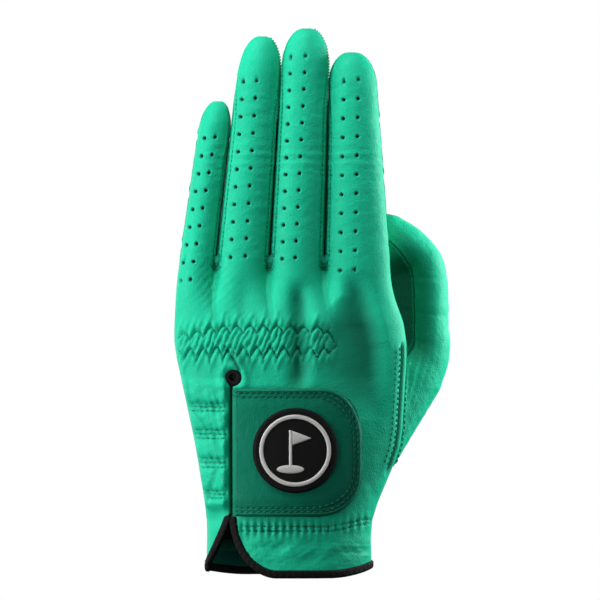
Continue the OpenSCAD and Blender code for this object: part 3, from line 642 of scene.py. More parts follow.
# ---- shaders ----
class S:
    """A shader socket with operators."""

    tree = None

    def __init__(self, socket):
        self.socket = socket

    @classmethod
    def node(cls, kind, out=0, inputs=None, **settings):
        n = cls.tree.nodes.new(kind)
        for key, value in settings.items():
            setattr(n, key, value)
        for key, value in (inputs or {}).items():
            if isinstance(value, S):
                cls.tree.links.new(value.socket, n.inputs[key])
            else:
                n.inputs[key].default_value = value
        return cls(n.outputs[out]) if n.outputs else None

    @classmethod
    def maths(cls, op, a, b=0.0, clamp=False):
        return cls.node("ShaderNodeMath", 0, {0: a, 1: b}, operation=op, use_clamp=clamp)

    def __add__(self, o):
        return S.maths("ADD", self, o)

    def __mul__(self, o):
        return S.maths("MULTIPLY", self, o)

    def clamp(self):
        return S.maths("ADD", self, 0.0, clamp=True)

    @classmethod
    def blend(cls, a, b, factor):
        """Colour a turned into b by factor."""
        return cls.node("ShaderNodeMix", 2, {0: factor, 6: a, 7: b}, data_type="RGBA")

    def spread(self, low, high, first, last):
        """first where the value is low, last where it is high, and a straight line between them."""
        return S.node("ShaderNodeMapRange", 0, {0: self, 1: low, 2: high, 3: first, 4: last})


def rgba(c):
    return (*tuple(c)[:3], 1.0)


def start_material(name):
    m = bpy.data.materials.new("fine_" + name)
    m.use_nodes = True
    m.node_tree.nodes.clear()
    S.tree = m.node_tree
    return m


def finish_material(m, base, rough, height, distance, strength, sheen, specular):
    normal = S.node("ShaderNodeBump", 0, {"Distance": distance, "Strength": strength, "Height": height})
    skin = S.node("ShaderNodeBsdfPrincipled", 0, {
        "Base Color": base, "Roughness": rough, "Sheen Weight": sheen, "Sheen Roughness": 0.5,
        "Specular IOR Level": specular, "Normal": normal,
    })
    S.node("ShaderNodeOutputMaterial", 0, {0: skin})
    return m


def coordinates():
    return S.node("ShaderNodeTexCoord", "Object")


def noise(vector, scale, detail=3.0, rough=0.55):
    return S.node("ShaderNodeTexNoise", 0, {"Vector": vector, "Scale": scale, "Detail": detail, "Roughness": rough})


def cells(vector, scale):
    return S.node("ShaderNodeTexVoronoi", 0, {"Vector": vector, "Scale": scale}, feature="F1")


def leather_material(name, face, deep, inside, dark=0.0):
    """Cabretta leather: fine pores and creases, a slow drift between two greens, suede where tone is below zero, and
    painted shade towards near black where tone is above zero.
    """
    m = start_material(name)
    co = coordinates()
    tone = S.node("ShaderNodeAttribute", "Fac", attribute_name="tone")
    drift = noise(co, 38.0, 3.0)
    mottled = noise(co, 260.0, 2.0)
    shade = (drift * 0.7 + mottled * 0.3).spread(0.35, 0.7, 0.0, 0.55 + dark)
    suede = tone.spread(-0.5, -0.4, 1.0, 0.0)
    base = S.blend(S.blend(rgba(face), rgba(deep), shade), rgba(inside), suede)
    # painted shade: tone turns the colour towards near black in holes, gaps, grooves and hollows
    base = S.blend(base, (0.0015, 0.006, 0.005, 1), tone.clamp())
    wrinkle = noise(co, 420.0, 4.0, 0.6)
    height = cells(co, 1500.0) * 0.6 + noise(co, 2600.0, 2.0) * 0.25 + wrinkle * 0.6
    rough = wrinkle.spread(0.3, 0.7, 0.46, 0.6) + suede * 0.3
    return finish_material(m, base, rough, height, 0.0004, 0.5, 0.0, 0.11)


def thread_material(name, c):
    m = start_material(name)
    co = coordinates()
    twist = noise(co, 3000.0, 1.0)
    base = S.blend(rgba(c), rgba([k * 0.55 for k in c]), twist)
    return finish_material(m, base, 0.6, twist, 0.0001, 0.4, 0.0, 0.25)


def weave_material(name, c, light, scale=900.0, slant=1.0):
    """Woven tape or twill: two crossed wave bands with a slant, with a painted highlight that makes the thread tops
    lighter.
    """
    m = start_material(name)
    co = coordinates()
    a, b = (
        S.node("ShaderNodeTexWave", "Fac", {"Vector": co, "Scale": size, "Distortion": 0.6}, bands_direction=way)
        for size, way in ((scale, "DIAGONAL"), (scale * 0.8 * slant, "Z"))
    )
    weave = a * 0.6 + b * 0.4
    base = S.blend(rgba(c), rgba(light), weave * 0.5)
    return finish_material(m, base, 0.72, weave, 0.00018, 0.6, 0.0, 0.18)


def pile_material(name, c, light):
    m = start_material(name)
    co = coordinates()
    n = noise(co, 1800.0, 3.0, 0.7)
    return finish_material(m, S.blend(rgba(c), rgba(light), n), 0.9, n, 0.0004, 0.9, 0.1, 0.15)


def materials():
    """All materials by name, made once."""
    if "fine_glove_leather" in bpy.data.materials:
        return bpy.data.materials
    c = bpy.context.scene.glove_colours
    leather_material("glove_leather", c.leather, c.deep, c.inside)
    # side strips and webs take a darker, more mottled copy of the leather: painted shade between the fingers
    leather_material("side_leather", [k * 0.6 for k in c.leather], [k * 0.55 for k in c.deep], c.inside, 0.15)
    leather_material("tab_leather", c.tab, [k * 0.75 for k in c.tab], c.inside)
    thread_material("green_thread", c.thread)
    thread_material("white_thread", c.white)
    thread_material("tab_thread", [k * 0.8 for k in c.tab])
    thread_material("black_thread", (0.010, 0.010, 0.011))
    weave_material("black_binding", c.binding, (0.009, 0.009, 0.010))
    weave_material("badge_twill", c.badge, (0.006, 0.006, 0.007), 700.0, 2.0)
    weave_material("elastic_tape", c.inside, c.leather, 500.0)
    pile_material("hook_and_loop", c.tape, [k * 1.6 for k in c.tape])
    return bpy.data.materials


def give(obj, material):
    obj.data.materials.clear()
    obj.data.materials.append(materials()["fine_" + material])


def form():
    return Form(bpy.context.scene.glove_sizes)


# skins and edges that one step leaves for the steps after it
CACHE = {}


# ---- the back and palm of the hand ----
def notch_edge(g, t):
    """The notch's two edges in the front view: t from 0 at the slit to 1 at the hem."""
    top, quarter = g.tab_low, t * math.pi / 2
    right = np.stack([g.slit + 0.9 + 19 * (1 - np.cos(quarter)), top - (top - 1.8) * np.sin(quarter)], -1)
    left = np.stack([g.slit - 0.9 - 10.6 * t ** 1.15, top - (top - 3) * t], -1)
    return left, right


def in_notch(g, x, z):
    """Whether a point of the front view lies between the notch's edges."""
    down = g.tab_low - z
    left, _ = notch_edge(g, np.clip(down / (g.tab_low - 3), 0, 1))
    _, right = notch_edge(g, np.arcsin(np.clip(down / (g.tab_low - 1.8), 0, 1)) * 2 / math.pi)
    return (down > 0) & (x > left[..., 0] - 0.2) & (x < right[..., 0] + 0.2)


def hem_rise(x):
    """Height of the hem, which curves up towards both sides as the square of the distance from its flat middle."""
    t = np.clip((np.abs(x) - 17) / 17.75, 0, 1)
    return np.where(x > 0, 3.6, 2.4) * t * t


def lifted(p):
    """The lowest rows of the leather rise with the hem."""
    p[..., 2] += hem_rise(p[..., 0]) * ease((16 - p[..., 2]) / 14)
    return p


# columns over each finger, rows from the hem to the webs, and columns over each web
HAND_COLS = {BACK: 52, PALM: 40}
HAND_ROWS = {BACK: 215, PALM: 150}
GAP_COLS = 3


def hand_grid(g, o, side):
    """Grid of the back or the palm: the fingers' arches in turn, joined over the webs."""
    z = np.linspace(2.2, g.web, HAND_ROWS[side])[:, None]
    parts = []
    for f in range(4)[::-side]:
        bl, br, pr, pl = (edge[0] for edge in g.edges(f, np.zeros(1)))
        first, last = (bl, br) if side == BACK else (pr, pl)
        phi = np.linspace(first, last, HAND_COLS[side])[None]
        parts.append(g.panel(f, phi + 0 * z, z + 0 * phi, side, o))
    out = parts[:1]
    for before, part in zip(parts, parts[1:]):
        for k in range(1, GAP_COLS + 1):
            t = k / (GAP_COLS + 1)
            middle = mix(before[:, -1:], part[:, :1], t)
            if side == BACK:
                middle[..., 1] += 0.5 * (1 - abs(2 * t - 1)) * ease((z - g.web + 8) / 8)
            out.append(middle)
        out.append(part)
    return lifted(np.concatenate(out, 1))


def finish_hand(outer, side):
    """Straightens the topmost row, keeps each finger's share of it for the finger, and returns the grid."""
    outer[-1] = 2 * outer[-2] - outer[-3]
    cols = HAND_COLS[side]
    starts = [k * (cols + GAP_COLS) for k in range(4)][::-side]
    CACHE[side] = [outer[-1, start:start + cols] for start in starts]
    return outer


def edge_fade(p, g):
    """1 inside the back of the hand, 0 at its side lines, so that relief dies out where two pieces meet."""
    l, r = g.left(p[..., 2]), g.right(p[..., 2])
    s = (p[..., 0] + l) / (l + r)
    return ease(s / 0.02) * ease((1 - s) / 0.02)


def in_thumb_hole(g, x, z):
    """Whether a point of the palm lies in the thumb's hole, half an ellipse at the hand's right edge."""
    u = (z - 72) / 25
    edge = g.right(z) - 23 * np.sqrt(np.maximum(0, 1 - u * u))
    return (np.abs(u) < 1) & (x > edge + 0.8)


def palm_detail(x, z):
    """Height of the palm's relief: slow waves, three long creases and the gathers over the wrist elastic."""
    h = 0.22 * wave_noise(x, z, 41, 30) + 0.10 * wave_noise(x, z, 42, 9)
    for x0, z0, slope, wide, deep in ((8, 96, 0.55, 1.3, 0.7), (-4, 110, 0.12, 1.2, 0.6), (20, 84, 1.6, 1.4, 0.7)):
        line = (z - z0) - slope * (x - x0) * 0.5 - 0.006 * (x - x0) ** 2
        h = h - deep * bump(line, wide) * bump(x - x0, 26) + 0.4 * deep * bump(line - 2.6, 1.6) * bump(x - x0, 24)
    return h + 0.25 * bump(z - 13, 3.4) * wave(x, 3.0) - 0.3 * bump(z - 13, 0.6)


class GLOVE_OT_hand(bpy.types.Operator):
    """Back and palm leather of the hand, from the hem to the webs"""

    bl_idname = "glove.hand"
    bl_label = "Hand leather"

    def execute(self, context):
        g = form()
        base = hand_grid(g, 0.0, BACK)
        n = facing(base, BACK, 0.2)
        x, z = base[..., 0], base[..., 2]
        h, tone = back_detail(x, z, g)
        fade = np.maximum(edge_fade(base, g), ease((z - g.web + 4) / 4))
        outer = finish_hand(base + n * (h * fade)[..., None], BACK)
        inner = hand_grid(g, -g.leather, BACK) + n * (np.minimum(h, 0.3) * fade)[..., None]
        hole = in_notch(g, x, z)
        keep = ~(hole[:-1, :-1] | hole[1:, :-1] | hole[:-1, 1:] | hole[1:, 1:])
        back = shell("hand_back_leather", outer, inner, keep, tone * fade)
        give(back, "glove_leather")
        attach(back, "hand")
        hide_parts("back_panel")
        CACHE["back"] = Skin(outer, n)
        base = hand_grid(g, 0.0, PALM)
        n = facing(base, PALM, 0.2)
        x, z = base[..., 0], base[..., 2]
        h = palm_detail(x, z)
        outer = finish_hand(base + n * (h * edge_fade(base, g))[..., None], PALM)
        hole = in_thumb_hole(g, x, z)
        keep = ~(hole[:-1, :-1] & hole[1:, :-1] & hole[:-1, 1:] & hole[1:, 1:])
        palm = shell("hand_palm_leather", outer, hand_grid(g, -g.leather, PALM), keep, 0 * h)
        give(palm, "glove_leather")
        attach(palm, "hand")
        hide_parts("palm_panel")
        CACHE["palm"] = Skin(outer, n)
        return {"FINISHED"}


# ---- fingers ----
ROW_STEP = 0.42  # distance between two rows of a finger's grid
SEAM_INSET = 1.7  # distance of the seams' stitches from the strip's edge
SIDE_END = 2.09  # the row at which a side strip ends


def finger_rows(g, f, end):
    """Row values s from the web to end, spaced evenly along the finger."""
    low = np.linspace(0, 1, int((g.joint(f) - g.web) / ROW_STEP))
    mid = np.linspace(1, 2, int((g.shoulder(f) - g.joint(f)) / ROW_STEP))[1:]
    cap = 2 + np.linspace(0, 1, 26)[1:] ** 0.9
    rows = np.concatenate([low, mid, cap])
    return rows[rows <= end + 1e-6]


def strip_distance(p):
    """Distance of each grid point from the strip's left and right edge, along its row."""
    seg = np.linalg.norm(np.diff(p, axis=1), axis=2)
    d = np.concatenate([np.zeros((len(p), 1)), np.cumsum(seg, 1)], 1)
    return d, d[:, -1:] - d


def bend(obj, g, f):
    """Bakes the piece's place into its mesh; the line from 9 mm below the middle joint to 9 mm above it is worked out,
    but nothing uses it.
    """
    z = g.joint(f)
    y = float(g.cy(f, z) + g.half_d(f, z))
    a = (g.cx(f, z - 9) * MM, y * MM, (z - 9) * MM)
    b = (g.cx(f, z + 9) * MM, y * MM, (z + 9) * MM)
    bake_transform(obj)


def finger_strip(g, f, which, cols):
    """Base grid of a finger's back, palm, left or right strip, its rows s and its angles."""
    s = finger_rows(g, f, 3.0 if which in ("back", "palm") else SIDE_END)[:, None]
    bl, br, pr, pl = g.edges(f, s)
    turn = 0.6
    first, last = {
        "back": (bl, br), "palm": (pr, pl), "right": (br + turn, pr - turn), "left": (pl + turn, 360 + bl - turn),
    }[which]
    phi = mix(first, last, np.linspace(0, 1, cols)[None])
    return s + 0 * phi, phi


def finger_detail(g, f, which, base, s, phi):
    """Height and tone of one strip: seams along the back and the palm, folds under the joints, and full sides. The tone
    is painted shade in the back's seam grooves and on the sides where two fingers are close.
    """
    x, z = base[..., 0], base[..., 2]
    start = ease((z - g.web) / 3)
    if which == "back":
        h, tone = back_detail(x, z, g)
        for d, seam in zip(strip_distance(base), (f != 0, f != 3)):
            if seam:
                ridges = 0.30 * bump(d - 0.3, 0.7) + 0.25 * bump(d - 3.2, 1.2)
                h = h + start * (ridges - 0.34 * bump(d - SEAM_INSET, 0.5))
                # painted shade in the stitch row's groove
                tone = np.maximum(tone, 0.25 * start * bump(d - SEAM_INSET, 0.35))
        return h + 0.12 * wave_noise(x * 0.6, z * 1.5, 50 + f, 9) * start, tone
    if which == "palm":
        h = 0.10 * wave_noise(x, z * 1.3, 60 + f, 10)
        for fold in (g.joint(f), g.joint(f) + 24, g.web + 8):
            h = h - 0.5 * bump(z - fold - 0.4 * np.sin(x / 3), 0.9) + 0.25 * bump(z - fold - 2.4, 1.3)
        for d in strip_distance(base):
            h = h + start * (0.25 * bump(d - 0.3, 0.7) - 0.22 * bump(d - SEAM_INSET, 0.5))
        return h * start, 0 * h
    u = (phi - phi[:, :1]) / np.maximum(phi[:, -1:] - phi[:, :1], 1e-6)
    a, b = (f, f + 1) if which == "right" else (f - 1, f)
    room = g.cx(b, z) - g.half_w(b, z) - g.cx(a, z) - g.half_w(a, z)
    room = np.where(z < min(g.shoulder(a), g.shoulder(b)), room, 1.0)
    h = np.clip(room / 2 + 0.03, 0, 2.0) * np.sin(math.pi * u) ** 0.45 * ease((SIDE_END - s) / 0.3)
    h = h - 0.25 * ease(u / 0.05) * ease((1 - u) / 0.05) * (1 - start)
    # painted shade on the side strip where two fingers are close
    return h, 0.5 * np.sin(math.pi * u) * (room < 1.6)


class GLOVE_OT_fingers(bpy.types.Operator):
    """Back, palm and side leather of each finger"""

    bl_idname = "glove.fingers"
    bl_label = "Fingers"

    def execute(self, context):
        g = form()
        for f, name in enumerate(FINGERS):
            threads, tip_threads = Threads(), Threads()
            for which, cols in (("back", 80), ("palm", 40), ("right", 18), ("left", 18)):
                if (which, f) in (("right", 3), ("left", 0)):
                    continue
                s, phi = finger_strip(g, f, which, cols)
                base = g.finger(f, phi, s)
                up = ease(s - 2)[..., None]
                n = unit(np.stack([sind(phi), -cosd(phi), 0 * phi], -1) * (1 - up * 0.9) + up * np.array([0, 0, 1.0]))
                h, tone = finger_detail(g, f, which, base, s, phi)
                h = h * (1 - 0.6 * up[..., 0])
                outer = base + n * h[..., None]
                flat = which in ("back", "palm")
                if flat:
                    row = CACHE[BACK if which == "back" else PALM][f]
                    row = resample(row, np.linspace(0, 1, len(row)), np.linspace(0, 1, cols))
                    near = 1 - ease((base[..., 2] - g.web) / 6)
                    outer = outer + (row - outer[0])[None] * near[..., None]
                inner = g.finger(f, phi, s, -g.leather) + n * np.minimum(h, 0.2)[..., None]
                piece = shell(f"{name}_{which}_leather", outer, inner, None, tone)
                material = "glove_leather" if flat else "side_leather"
                give(piece, material)
                bend(piece, g, f)
                own = {
                    "back": [f"{name}_back"],
                    "palm": [f"{name}_palm"],
                    "right": [f"{name}_fourchettes" if f in (1, 2) else "little_fourchette"],
                    "left": ["index_fourchette"] if f == 3 else [],
                }[which]
                if own:
                    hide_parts(*own)
                if flat:
                    self.sew(g, f, which, outer, n, threads, tip_threads)
            if tip_threads.count:
                overcast = tip_threads.build(f"{name}_tip_overcast")
                give(overcast, "glove_leather")
                bend(overcast, g, f)
            stitches = threads.build(f"{name}_finger_stitches")
            give(stitches, "green_thread")
            bend(stitches, g, f)
        return {"FINISHED"}

    @staticmethod
    def sew(g, f, which, outer, n, threads, tip_threads):
        """The row along each seam of a strip, and the overcast edge at the right of the two middle fingers' tips."""
        rows = np.arange(len(outer))
        for dist, flip, seam in zip(strip_distance(outer), (False, True), (f != 0, f != 3)):
            if not seam:
                continue
            k = np.abs(dist - SEAM_INSET).argmin(1)
            good = dist[rows, outer.shape[1] // 2] > 3
            path = np.pad(outer[rows, k][good], ((4, 4), (0, 0)), "edge")
            path = np.stack([np.convolve(column, np.ones(9) / 9, "valid") for column in path.T], -1)
            threads.add(path, n[rows, k][good], 2.0, 0.2, 0.66, 0.5)
            if which == "back" and flip and f in (1, 2):
                cap = path[:, 2] > g.shoulder(f) - 16
                tip_threads.add(outer[:, -1][good][cap], n[:, -1][good][cap], 1.25, 0.5, 0.8, 0.1, turn=1.6)


class GLOVE_OT_webs(bpy.types.Operator):
    """The leather that turns under each gap between two fingers, with its stitches"""

    bl_idname = "glove.webs"
    bl_label = "Webs"

    def execute(self, context):
        g = form()
        names = ("little_ring", "ring_middle", "middle_index")
        threads = Threads()
        for f in range(3):
            zero = np.zeros((1, 1))
            _, br, pr, _ = g.edges(f, zero)
            bl2, _, _, pl2 = g.edges(f + 1, zero)
            j = np.linspace(0, 1, 13)[None]
            a = g.finger(f, mix(br - 6, pr + 6, j), zero + 0 * j)[0]
            b = g.finger(f + 1, mix(360 + bl2 + 6, pl2 - 6, j), zero + 0 * j)[0]
            u = np.linspace(0, 1, 17)[:, None, None]
            grid = mix(a[None], b[None], u)
            arch = (2 * u[..., 0] - 1) ** 2
            grid[..., 2] = g.web + 3.0 + 1.4 * arch**1.5 + 0.5 * np.sin(math.pi * j) ** 0.6
            # the webs carry tone 0.3 all over, painted shade under the gaps between the fingers
            piece = shell(names[f] + "_web", grid, grid - np.array([0, 0, 4.4]), None, np.full(grid.shape[:2], 0.3))
            give(piece, "side_leather")
            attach(piece, "hand")
            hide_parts(names[f] + "_fourchette")
            t = np.linspace(-1, 1, 15)
            p, n = CACHE["back"].at((a[0, 0] + b[0, 0]) / 2 + t * 2.4, g.web - 2.9 + 2.8 * np.abs(t) ** 2.2)
            threads.add(p, n, 1.5, 0.24, 0.7, 0.5)
        piece = threads.build("web_stitches")
        give(piece, "green_thread")
        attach(piece, "hand")
        return {"FINISHED"}


# ---- thumb ----
# the thumb's rings: centre, half width and half depth
THUMB = np.array((
    (50.25, 15, 84.5, 14.8, 11.95), (55.05, 17.5, 95, 13.2, 11.35), (55.65, 19.5, 104.5, 12, 10.75),
    (55.55, 21, 113, 12, 10.75), (55.35, 22.5, 121.5, 12, 10.75), (53.85, 23.6, 129.8, 12, 10.45),
    (48.25, 24.2, 137, 11.5, 10.15), (41.45, 24.6, 142.2, 10.8, 9.75),
))


def spline(values, at):
    """Catmull-Rom curve through the rows of values, read at the row number at."""
    last = len(values) - 1
    i = np.clip(np.floor(at).astype(int), 0, last - 1)
    t = (at - i)[..., None]
    p0, p1, p2, p3 = (values[np.clip(i + k, 0, last)] for k in (-1, 0, 1, 2))
    square = (2 * p0 - 5 * p1 + 4 * p2 - p3) * t**2
    return 0.5 * (2 * p1 + (p2 - p0) * t + square + (3 * p1 - p0 - 3 * p2 + p3) * t**3)


def thumb_point(g, a, v, o=0.0):
    """Point of the thumb at the angle a round it and the row v.

    v is 0 at the sewn edge, 1 at the first ring, 8 at the last and 9 at the tip. The edge is a ring in the hand's side.
    """
    k = np.clip(v - 1, 0, 7)
    ring = spline(THUMB, k)
    e = 0.25
    way = unit((spline(THUMB, np.clip(k + e, 0, 7)) - spline(THUMB, np.clip(k - e, 0, 7)))[..., :3])
    y = np.array([0, -1.0, 0])
    front = unit(y - (way @ y)[..., None] * way)
    inner = np.cross(front, way)
    t = np.clip(v - 8, 0, 1) * 90
    r, q = (ring[..., 3] + o) * cosd(t) ** 0.9, (ring[..., 4] + o) * cosd(t) ** 0.9
    round_ = ring[..., :3] + way * ((9.5 + o) * sind(t))[..., None]
    round_ = round_ + (r * cosd(a))[..., None] * inner + (q * sind(a))[..., None] * front
    aa = a % 360
    hz = 72 + 25.6 * cosd(aa)
    hx = g.right(hz) + 23.6 * np.minimum(sind(aa), 0)
    outside = aa < 180
    edge_y = np.where(outside, -1.2 * sind(aa), np.maximum(g.hand_at(hx, hz, 1, 0.5 + o)[..., 1], 0))
    edge = np.stack([hx + np.where(outside, 0.3 + o, 0), edge_y, hz], -1)
    w = np.clip(v, 0, 1)[..., None]
    return mix(edge, round_, ease(w) * 0.35 + w * 0.65)


def thumb_detail(aa, vv, p):
    """Height and tone of the thumb's leather, and the angle of its seam.

    The side towards the hand is hollow and carries painted shade, the seam's groove is painted dark, creases ring the
    joints, and fine folds fan out from the crotch.
    """
    x, y, z = p[..., 0], p[..., 1], p[..., 2]
    h = 0.16 * wave_noise(x + y, z, 81, 14) + 0.07 * wave_noise(x - y, z, 82, 5)
    wrap = np.minimum(aa % 360, 360 - aa % 360)
    inside = aa < 180
    seam = mix(70, 88, ease((vv - 5) / 3))
    arc = (wrap - seam) * 12 * math.pi / 180
    on = ease((vv - 0.15) / 0.5) * ease((8.9 - vv) / 0.3)
    h = h + on * (0.30 * bump(np.abs(arc) - 0.7, 0.6) - 0.8 * bump(arc, 0.35))
    hollow = inside * bump(aa - 62, 38) * ease((vv - 1.0) / 1.2) * ease((7.4 - vv) / 1.5)
    h = h - 5.0 * hollow * ease(aa / 30)
    h = h + 1.7 * bump(wrap, 32) * ease((vv - 2) / 1.2) * ease((7.6 - vv) / 1.2)
    # fold and shade are masks of painted shade alone, between the seam and the hand and over the side towards the hand
    fold = inside * ease((seam - aa) / 14) * ease((vv - 0.75) / 0.7) * ease((8.3 - vv) / 1.5)
    shade = inside * ease((132 - aa) / 36) * ease(vv - 1.1) * ease((8.2 - vv) / 1.6)
    crotch = bump((vv - 1.3) * 10, 8) * bump((aa + 180) % 360 - 180 - 55, 42)
    h = h + 0.55 * crotch * np.sin((aa % 360) / 360 * 2 * math.pi * 26 + vv * 2)
    for row, deep in ((3.6, 0.5), (5.4, 0.6), (2.2, 0.4)):
        crease = bump((vv - row) * 9 - 1.6 * sind(2 * aa), 1.3)
        h = h - deep * crease * (0.35 + 0.65 * bump(aa - 300, 70))
    return h * ease(vv / 0.12), np.maximum(0.75 * on * bump(arc, 0.3), 0.56 * shade + 0.26 * fold), seam


class GLOVE_OT_thumb(bpy.types.Operator):
    """The thumb's leather, sewn into the side of the hand, with its seams and creases"""

    bl_idname = "glove.thumb"
    bl_label = "Thumb"

    def execute(self, context):
        g = form()
        v = np.concatenate([np.linspace(0, 1, 60), np.linspace(1, 8, 170)[1:], 8 + np.linspace(0, 1, 30)[1:] ** 0.8])
        a = np.linspace(0, 360, 181)[None]
        vv, aa = v[:, None] + 0 * a, a + 0 * v[:, None]
        base = thumb_point(g, aa, vv)
        n = grid_normals(base)
        centre = base.mean(1, keepdims=True)
        n = n * np.where(((base - centre) * n).sum(-1, keepdims=True).mean(1, keepdims=True) < 0, -1, 1)
        h, tone, seam = thumb_detail(aa, vv, base)
        outer = base + n * h[..., None]
        inner = thumb_point(g, aa, vv, -g.leather) + n * np.minimum(h, 0.2)[..., None]
        piece = shell("thumb_leather", outer, inner, None, tone, True, -1)
        give(piece, "glove_leather")
        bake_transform(piece)
        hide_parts("thumb_base_inner", "thumb_base_outer", "thumb_inner", "thumb_outer")
        threads = Threads()
        rows = np.arange(len(outer))
        ok = (v > 0.12) & (v < 8.8)
        beside = 0.9 / 12 * 180 / math.pi
        for target in (seam - beside, 360 - seam + beside):
            k = np.abs(aa - target).argmin(1)
            threads.add(outer[rows, k][ok], n[rows, k][ok], 2.2, 0.24, 0.68, 0.5)
        rim = thumb_point(g, a, 0.06 + 0 * a)[0]
        threads.add(rim + n[4] * 0.2, n[4], 2.4, 0.26, 0.68, 0.5)
        stitches = threads.build("thumb_stitches")
        give(stitches, "green_thread")
        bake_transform(stitches)
        return {"FINISHED"}


# ---- bindings ----
class GLOVE_OT_bindings(bpy.types.Operator):
    """The black woven binding round the hem, up both edges of the notch, and round the keyhole"""

    bl_idname = "glove.bindings"
    bl_label = "Bindings"

    def execute(self, context):
        g = form()
        left, right = notch_edge(g, np.linspace(0, 1, 60))
        z0 = 1.95
        pr, _ = self.on_back(g, right[right[:, 1] > z0 + 0.1])
        pl, _ = self.on_back(g, left[left[:, 1] > z0 + 1.2])
        ang = np.linspace(self.angle(g, pr[-1, 0]), 2 * math.pi + self.angle(g, pl[-1, 0]), 420)[1:-1]
        s = (1 - np.cos(ang)) / 2
        hem = g.hand(s, 0 * s, np.where(np.sin(ang) >= 0, -1, 1), -0.4)
        hem[:, 2] = z0 + hem_rise(hem[:, 0])
        path = np.concatenate([pr, hem, pl[::-1]])
        for _ in range(6):
            path[1:-1] = (path[:-2] + 2 * path[1:-1] + path[2:]) / 4
        dist = travelled(path)
        at = np.arange(0, dist[-1], 0.45)
        path = resample(path, dist, at)
        r, l = g.right(path[:, 2]), g.left(path[:, 2])
        nx = (path[:, 0] - (r - l) / 2) / ((r + l) / 2) ** 2
        ny = path[:, 1] / g.depth(path[:, 2]) ** 2
        normal = unit(np.stack([nx, ny, 0 * nx], -1))
        relief = 0.07 * wave(at, 2.6) + 0.05 * wave_noise(at / 2, at * 0, 91, 6)
        ends = ease(at / 1.2) * ease((at[-1] - at) / 1.2)
        half_w, half_t = 1.75 * (0.55 + 0.45 * ends), 1.15 * (0.5 + 0.5 * ends)
        piece = tube("edge_binding", path, normal, half_w, half_t, 16, False, relief)
        give(piece, "black_binding")
        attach(piece, "hand")
        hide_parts("hem_binding", "notch_binding")
        across = unit(np.cross(np.gradient(path, axis=0), normal))
        on_hem = (at[:, None] > 25) & (at[:, None] < at[-1] - 25)
        across = np.where((across[:, 2:3] < 0) & on_hem, -across, across)
        threads = Threads()
        threads.add(path + across * 0.95 + normal * 0.98, normal, 2.6, 0.19, 0.6, 0.6)
        stitches = threads.build("binding_stitches")
        give(stitches, "black_thread")
        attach(stitches, "hand")
        ang = np.linspace(0, 2 * math.pi, 64, endpoint=False)
        cx, cz = g.slit + 0.9, g.tab_top + 4.3
        ring, n = self.on_back(g, np.stack([cx + 2.5 * np.cos(ang), cz + 2.5 * np.sin(ang)], -1))
        piece = tube("keyhole_ring", ring + n * -0.35, n, 1.15, 0.6, 12, True)
        give(piece, "black_binding")
        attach(piece, "hand")
        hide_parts("keyhole_binding")
        return {"FINISHED"}

    @staticmethod
    def on_back(g, xz):
        """Points 0.4 mm under the back's face at x and z, and their normals."""
        e = 0.5
        p, px, pz = (
            g.hand_at(xz[:, 0] + dx, xz[:, 1] + dz, -1, -0.4) for dx, dz in ((0, 0), (e, 0), (0, e))
        )
        return p, unit(np.cross(px - p, pz - p))

    @staticmethod
    def angle(g, x):
        """The hem's angle at which it passes x, where x runs as 1 - cos."""
        l, r = float(g.left(0.0)), float(g.right(0.0))
        return math.acos(1 - 2 * (x + l) / (l + r))


# ---- gathers and elastics ----
class GLOVE_OT_gathers(bpy.types.Operator):
    """Stitch rows of the knuckle gathers, the side elastics, the wrist elastic and the seam beside the thumb"""

    bl_idname = "glove.gathers"
    bl_label = "Gathers"

    def execute(self, context):
        g = form()
        threads = Threads()
        x = np.arange(ZIG_LEFT + 1.0, ZIG_RIGHT + 0.6, 0.25)
        upper, lower, _ = zigzag(x)
        for line in (upper, lower):
            p, n = on_skin(g, x, line)
            threads.add(p, n, 1.7, 0.27, 0.74, 0.55)
        for centre, half in ELASTICS:
            for i, row in enumerate((-1, 0, 1)):
                z = centre + row * half * 0.8
                xs = np.arange(1.6 - float(g.left(z)), g.slit - 1.6, 0.3)
                p, n = on_skin(g, xs, z + 0.15 * np.sin(xs * 1.1))
                threads.add(p, n, 2.7, 0.27, 0.62, 0.6, start=1.35 * (i % 2))
        xs = np.arange(g.slit + 3.4, 35, 0.3)
        for i, row in enumerate(WRIST_ROWS):
            p, n = on_skin(g, xs, row + wrist_lift(xs))
            threads.add(p, n, 3.0, 0.27, 0.62, 0.6, start=1.5 * i)
        zs = np.arange(47, 97, 0.3)
        for i, off in enumerate((0.0, 1.5)):
            p, n = on_skin(g, thumb_seam(g, zs) - off, zs)
            threads.add(p, n, 2.3, 0.25, 0.62, 0.6, start=1.1 * i)
        piece = threads.build("back_stitches")
        give(piece, "green_thread")
        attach(piece, "hand")
        threads = Threads()
        xs = np.arange(-28, 28, 0.4)
        for i, row in enumerate((12.0, 13.9)):
            p, n = CACHE["palm"].at(xs, row + 0 * xs)
            threads.add(p, n, 3.0, 0.27, 0.62, 0.6, start=1.5 * i)
        piece = threads.build("palm_stitches")
        give(piece, "green_thread")
        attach(piece, "hand")
        x = np.linspace(-44, 19.5, 130)[None]
        z = np.linspace(91.2, 103.8, 26)[:, None]
        x, z = x + 0 * z, z + 0 * x
        p = g.hand_at(x, z, -1, -1.75)
        n = facing(p, BACK)
        p = p - n * hollows(x, z)[..., None]
        ribs = 0.06 * np.sin(z * 2 * math.pi / 1.6)
        tape = shell("knuckle_tape", p + n * (0.35 + ribs)[..., None], p - n * 0.35, None, 0 * x)
        give(tape, "elastic_tape")
        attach(tape, "hand")
        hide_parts("knuckle_elastic")
        for node in ("side_elastics", "wrist_elastic", "palm_elastic"):
            give(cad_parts[node], "elastic_tape")
        give(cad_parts["loop_patch"], "hook_and_loop")
        return {"FINISHED"}


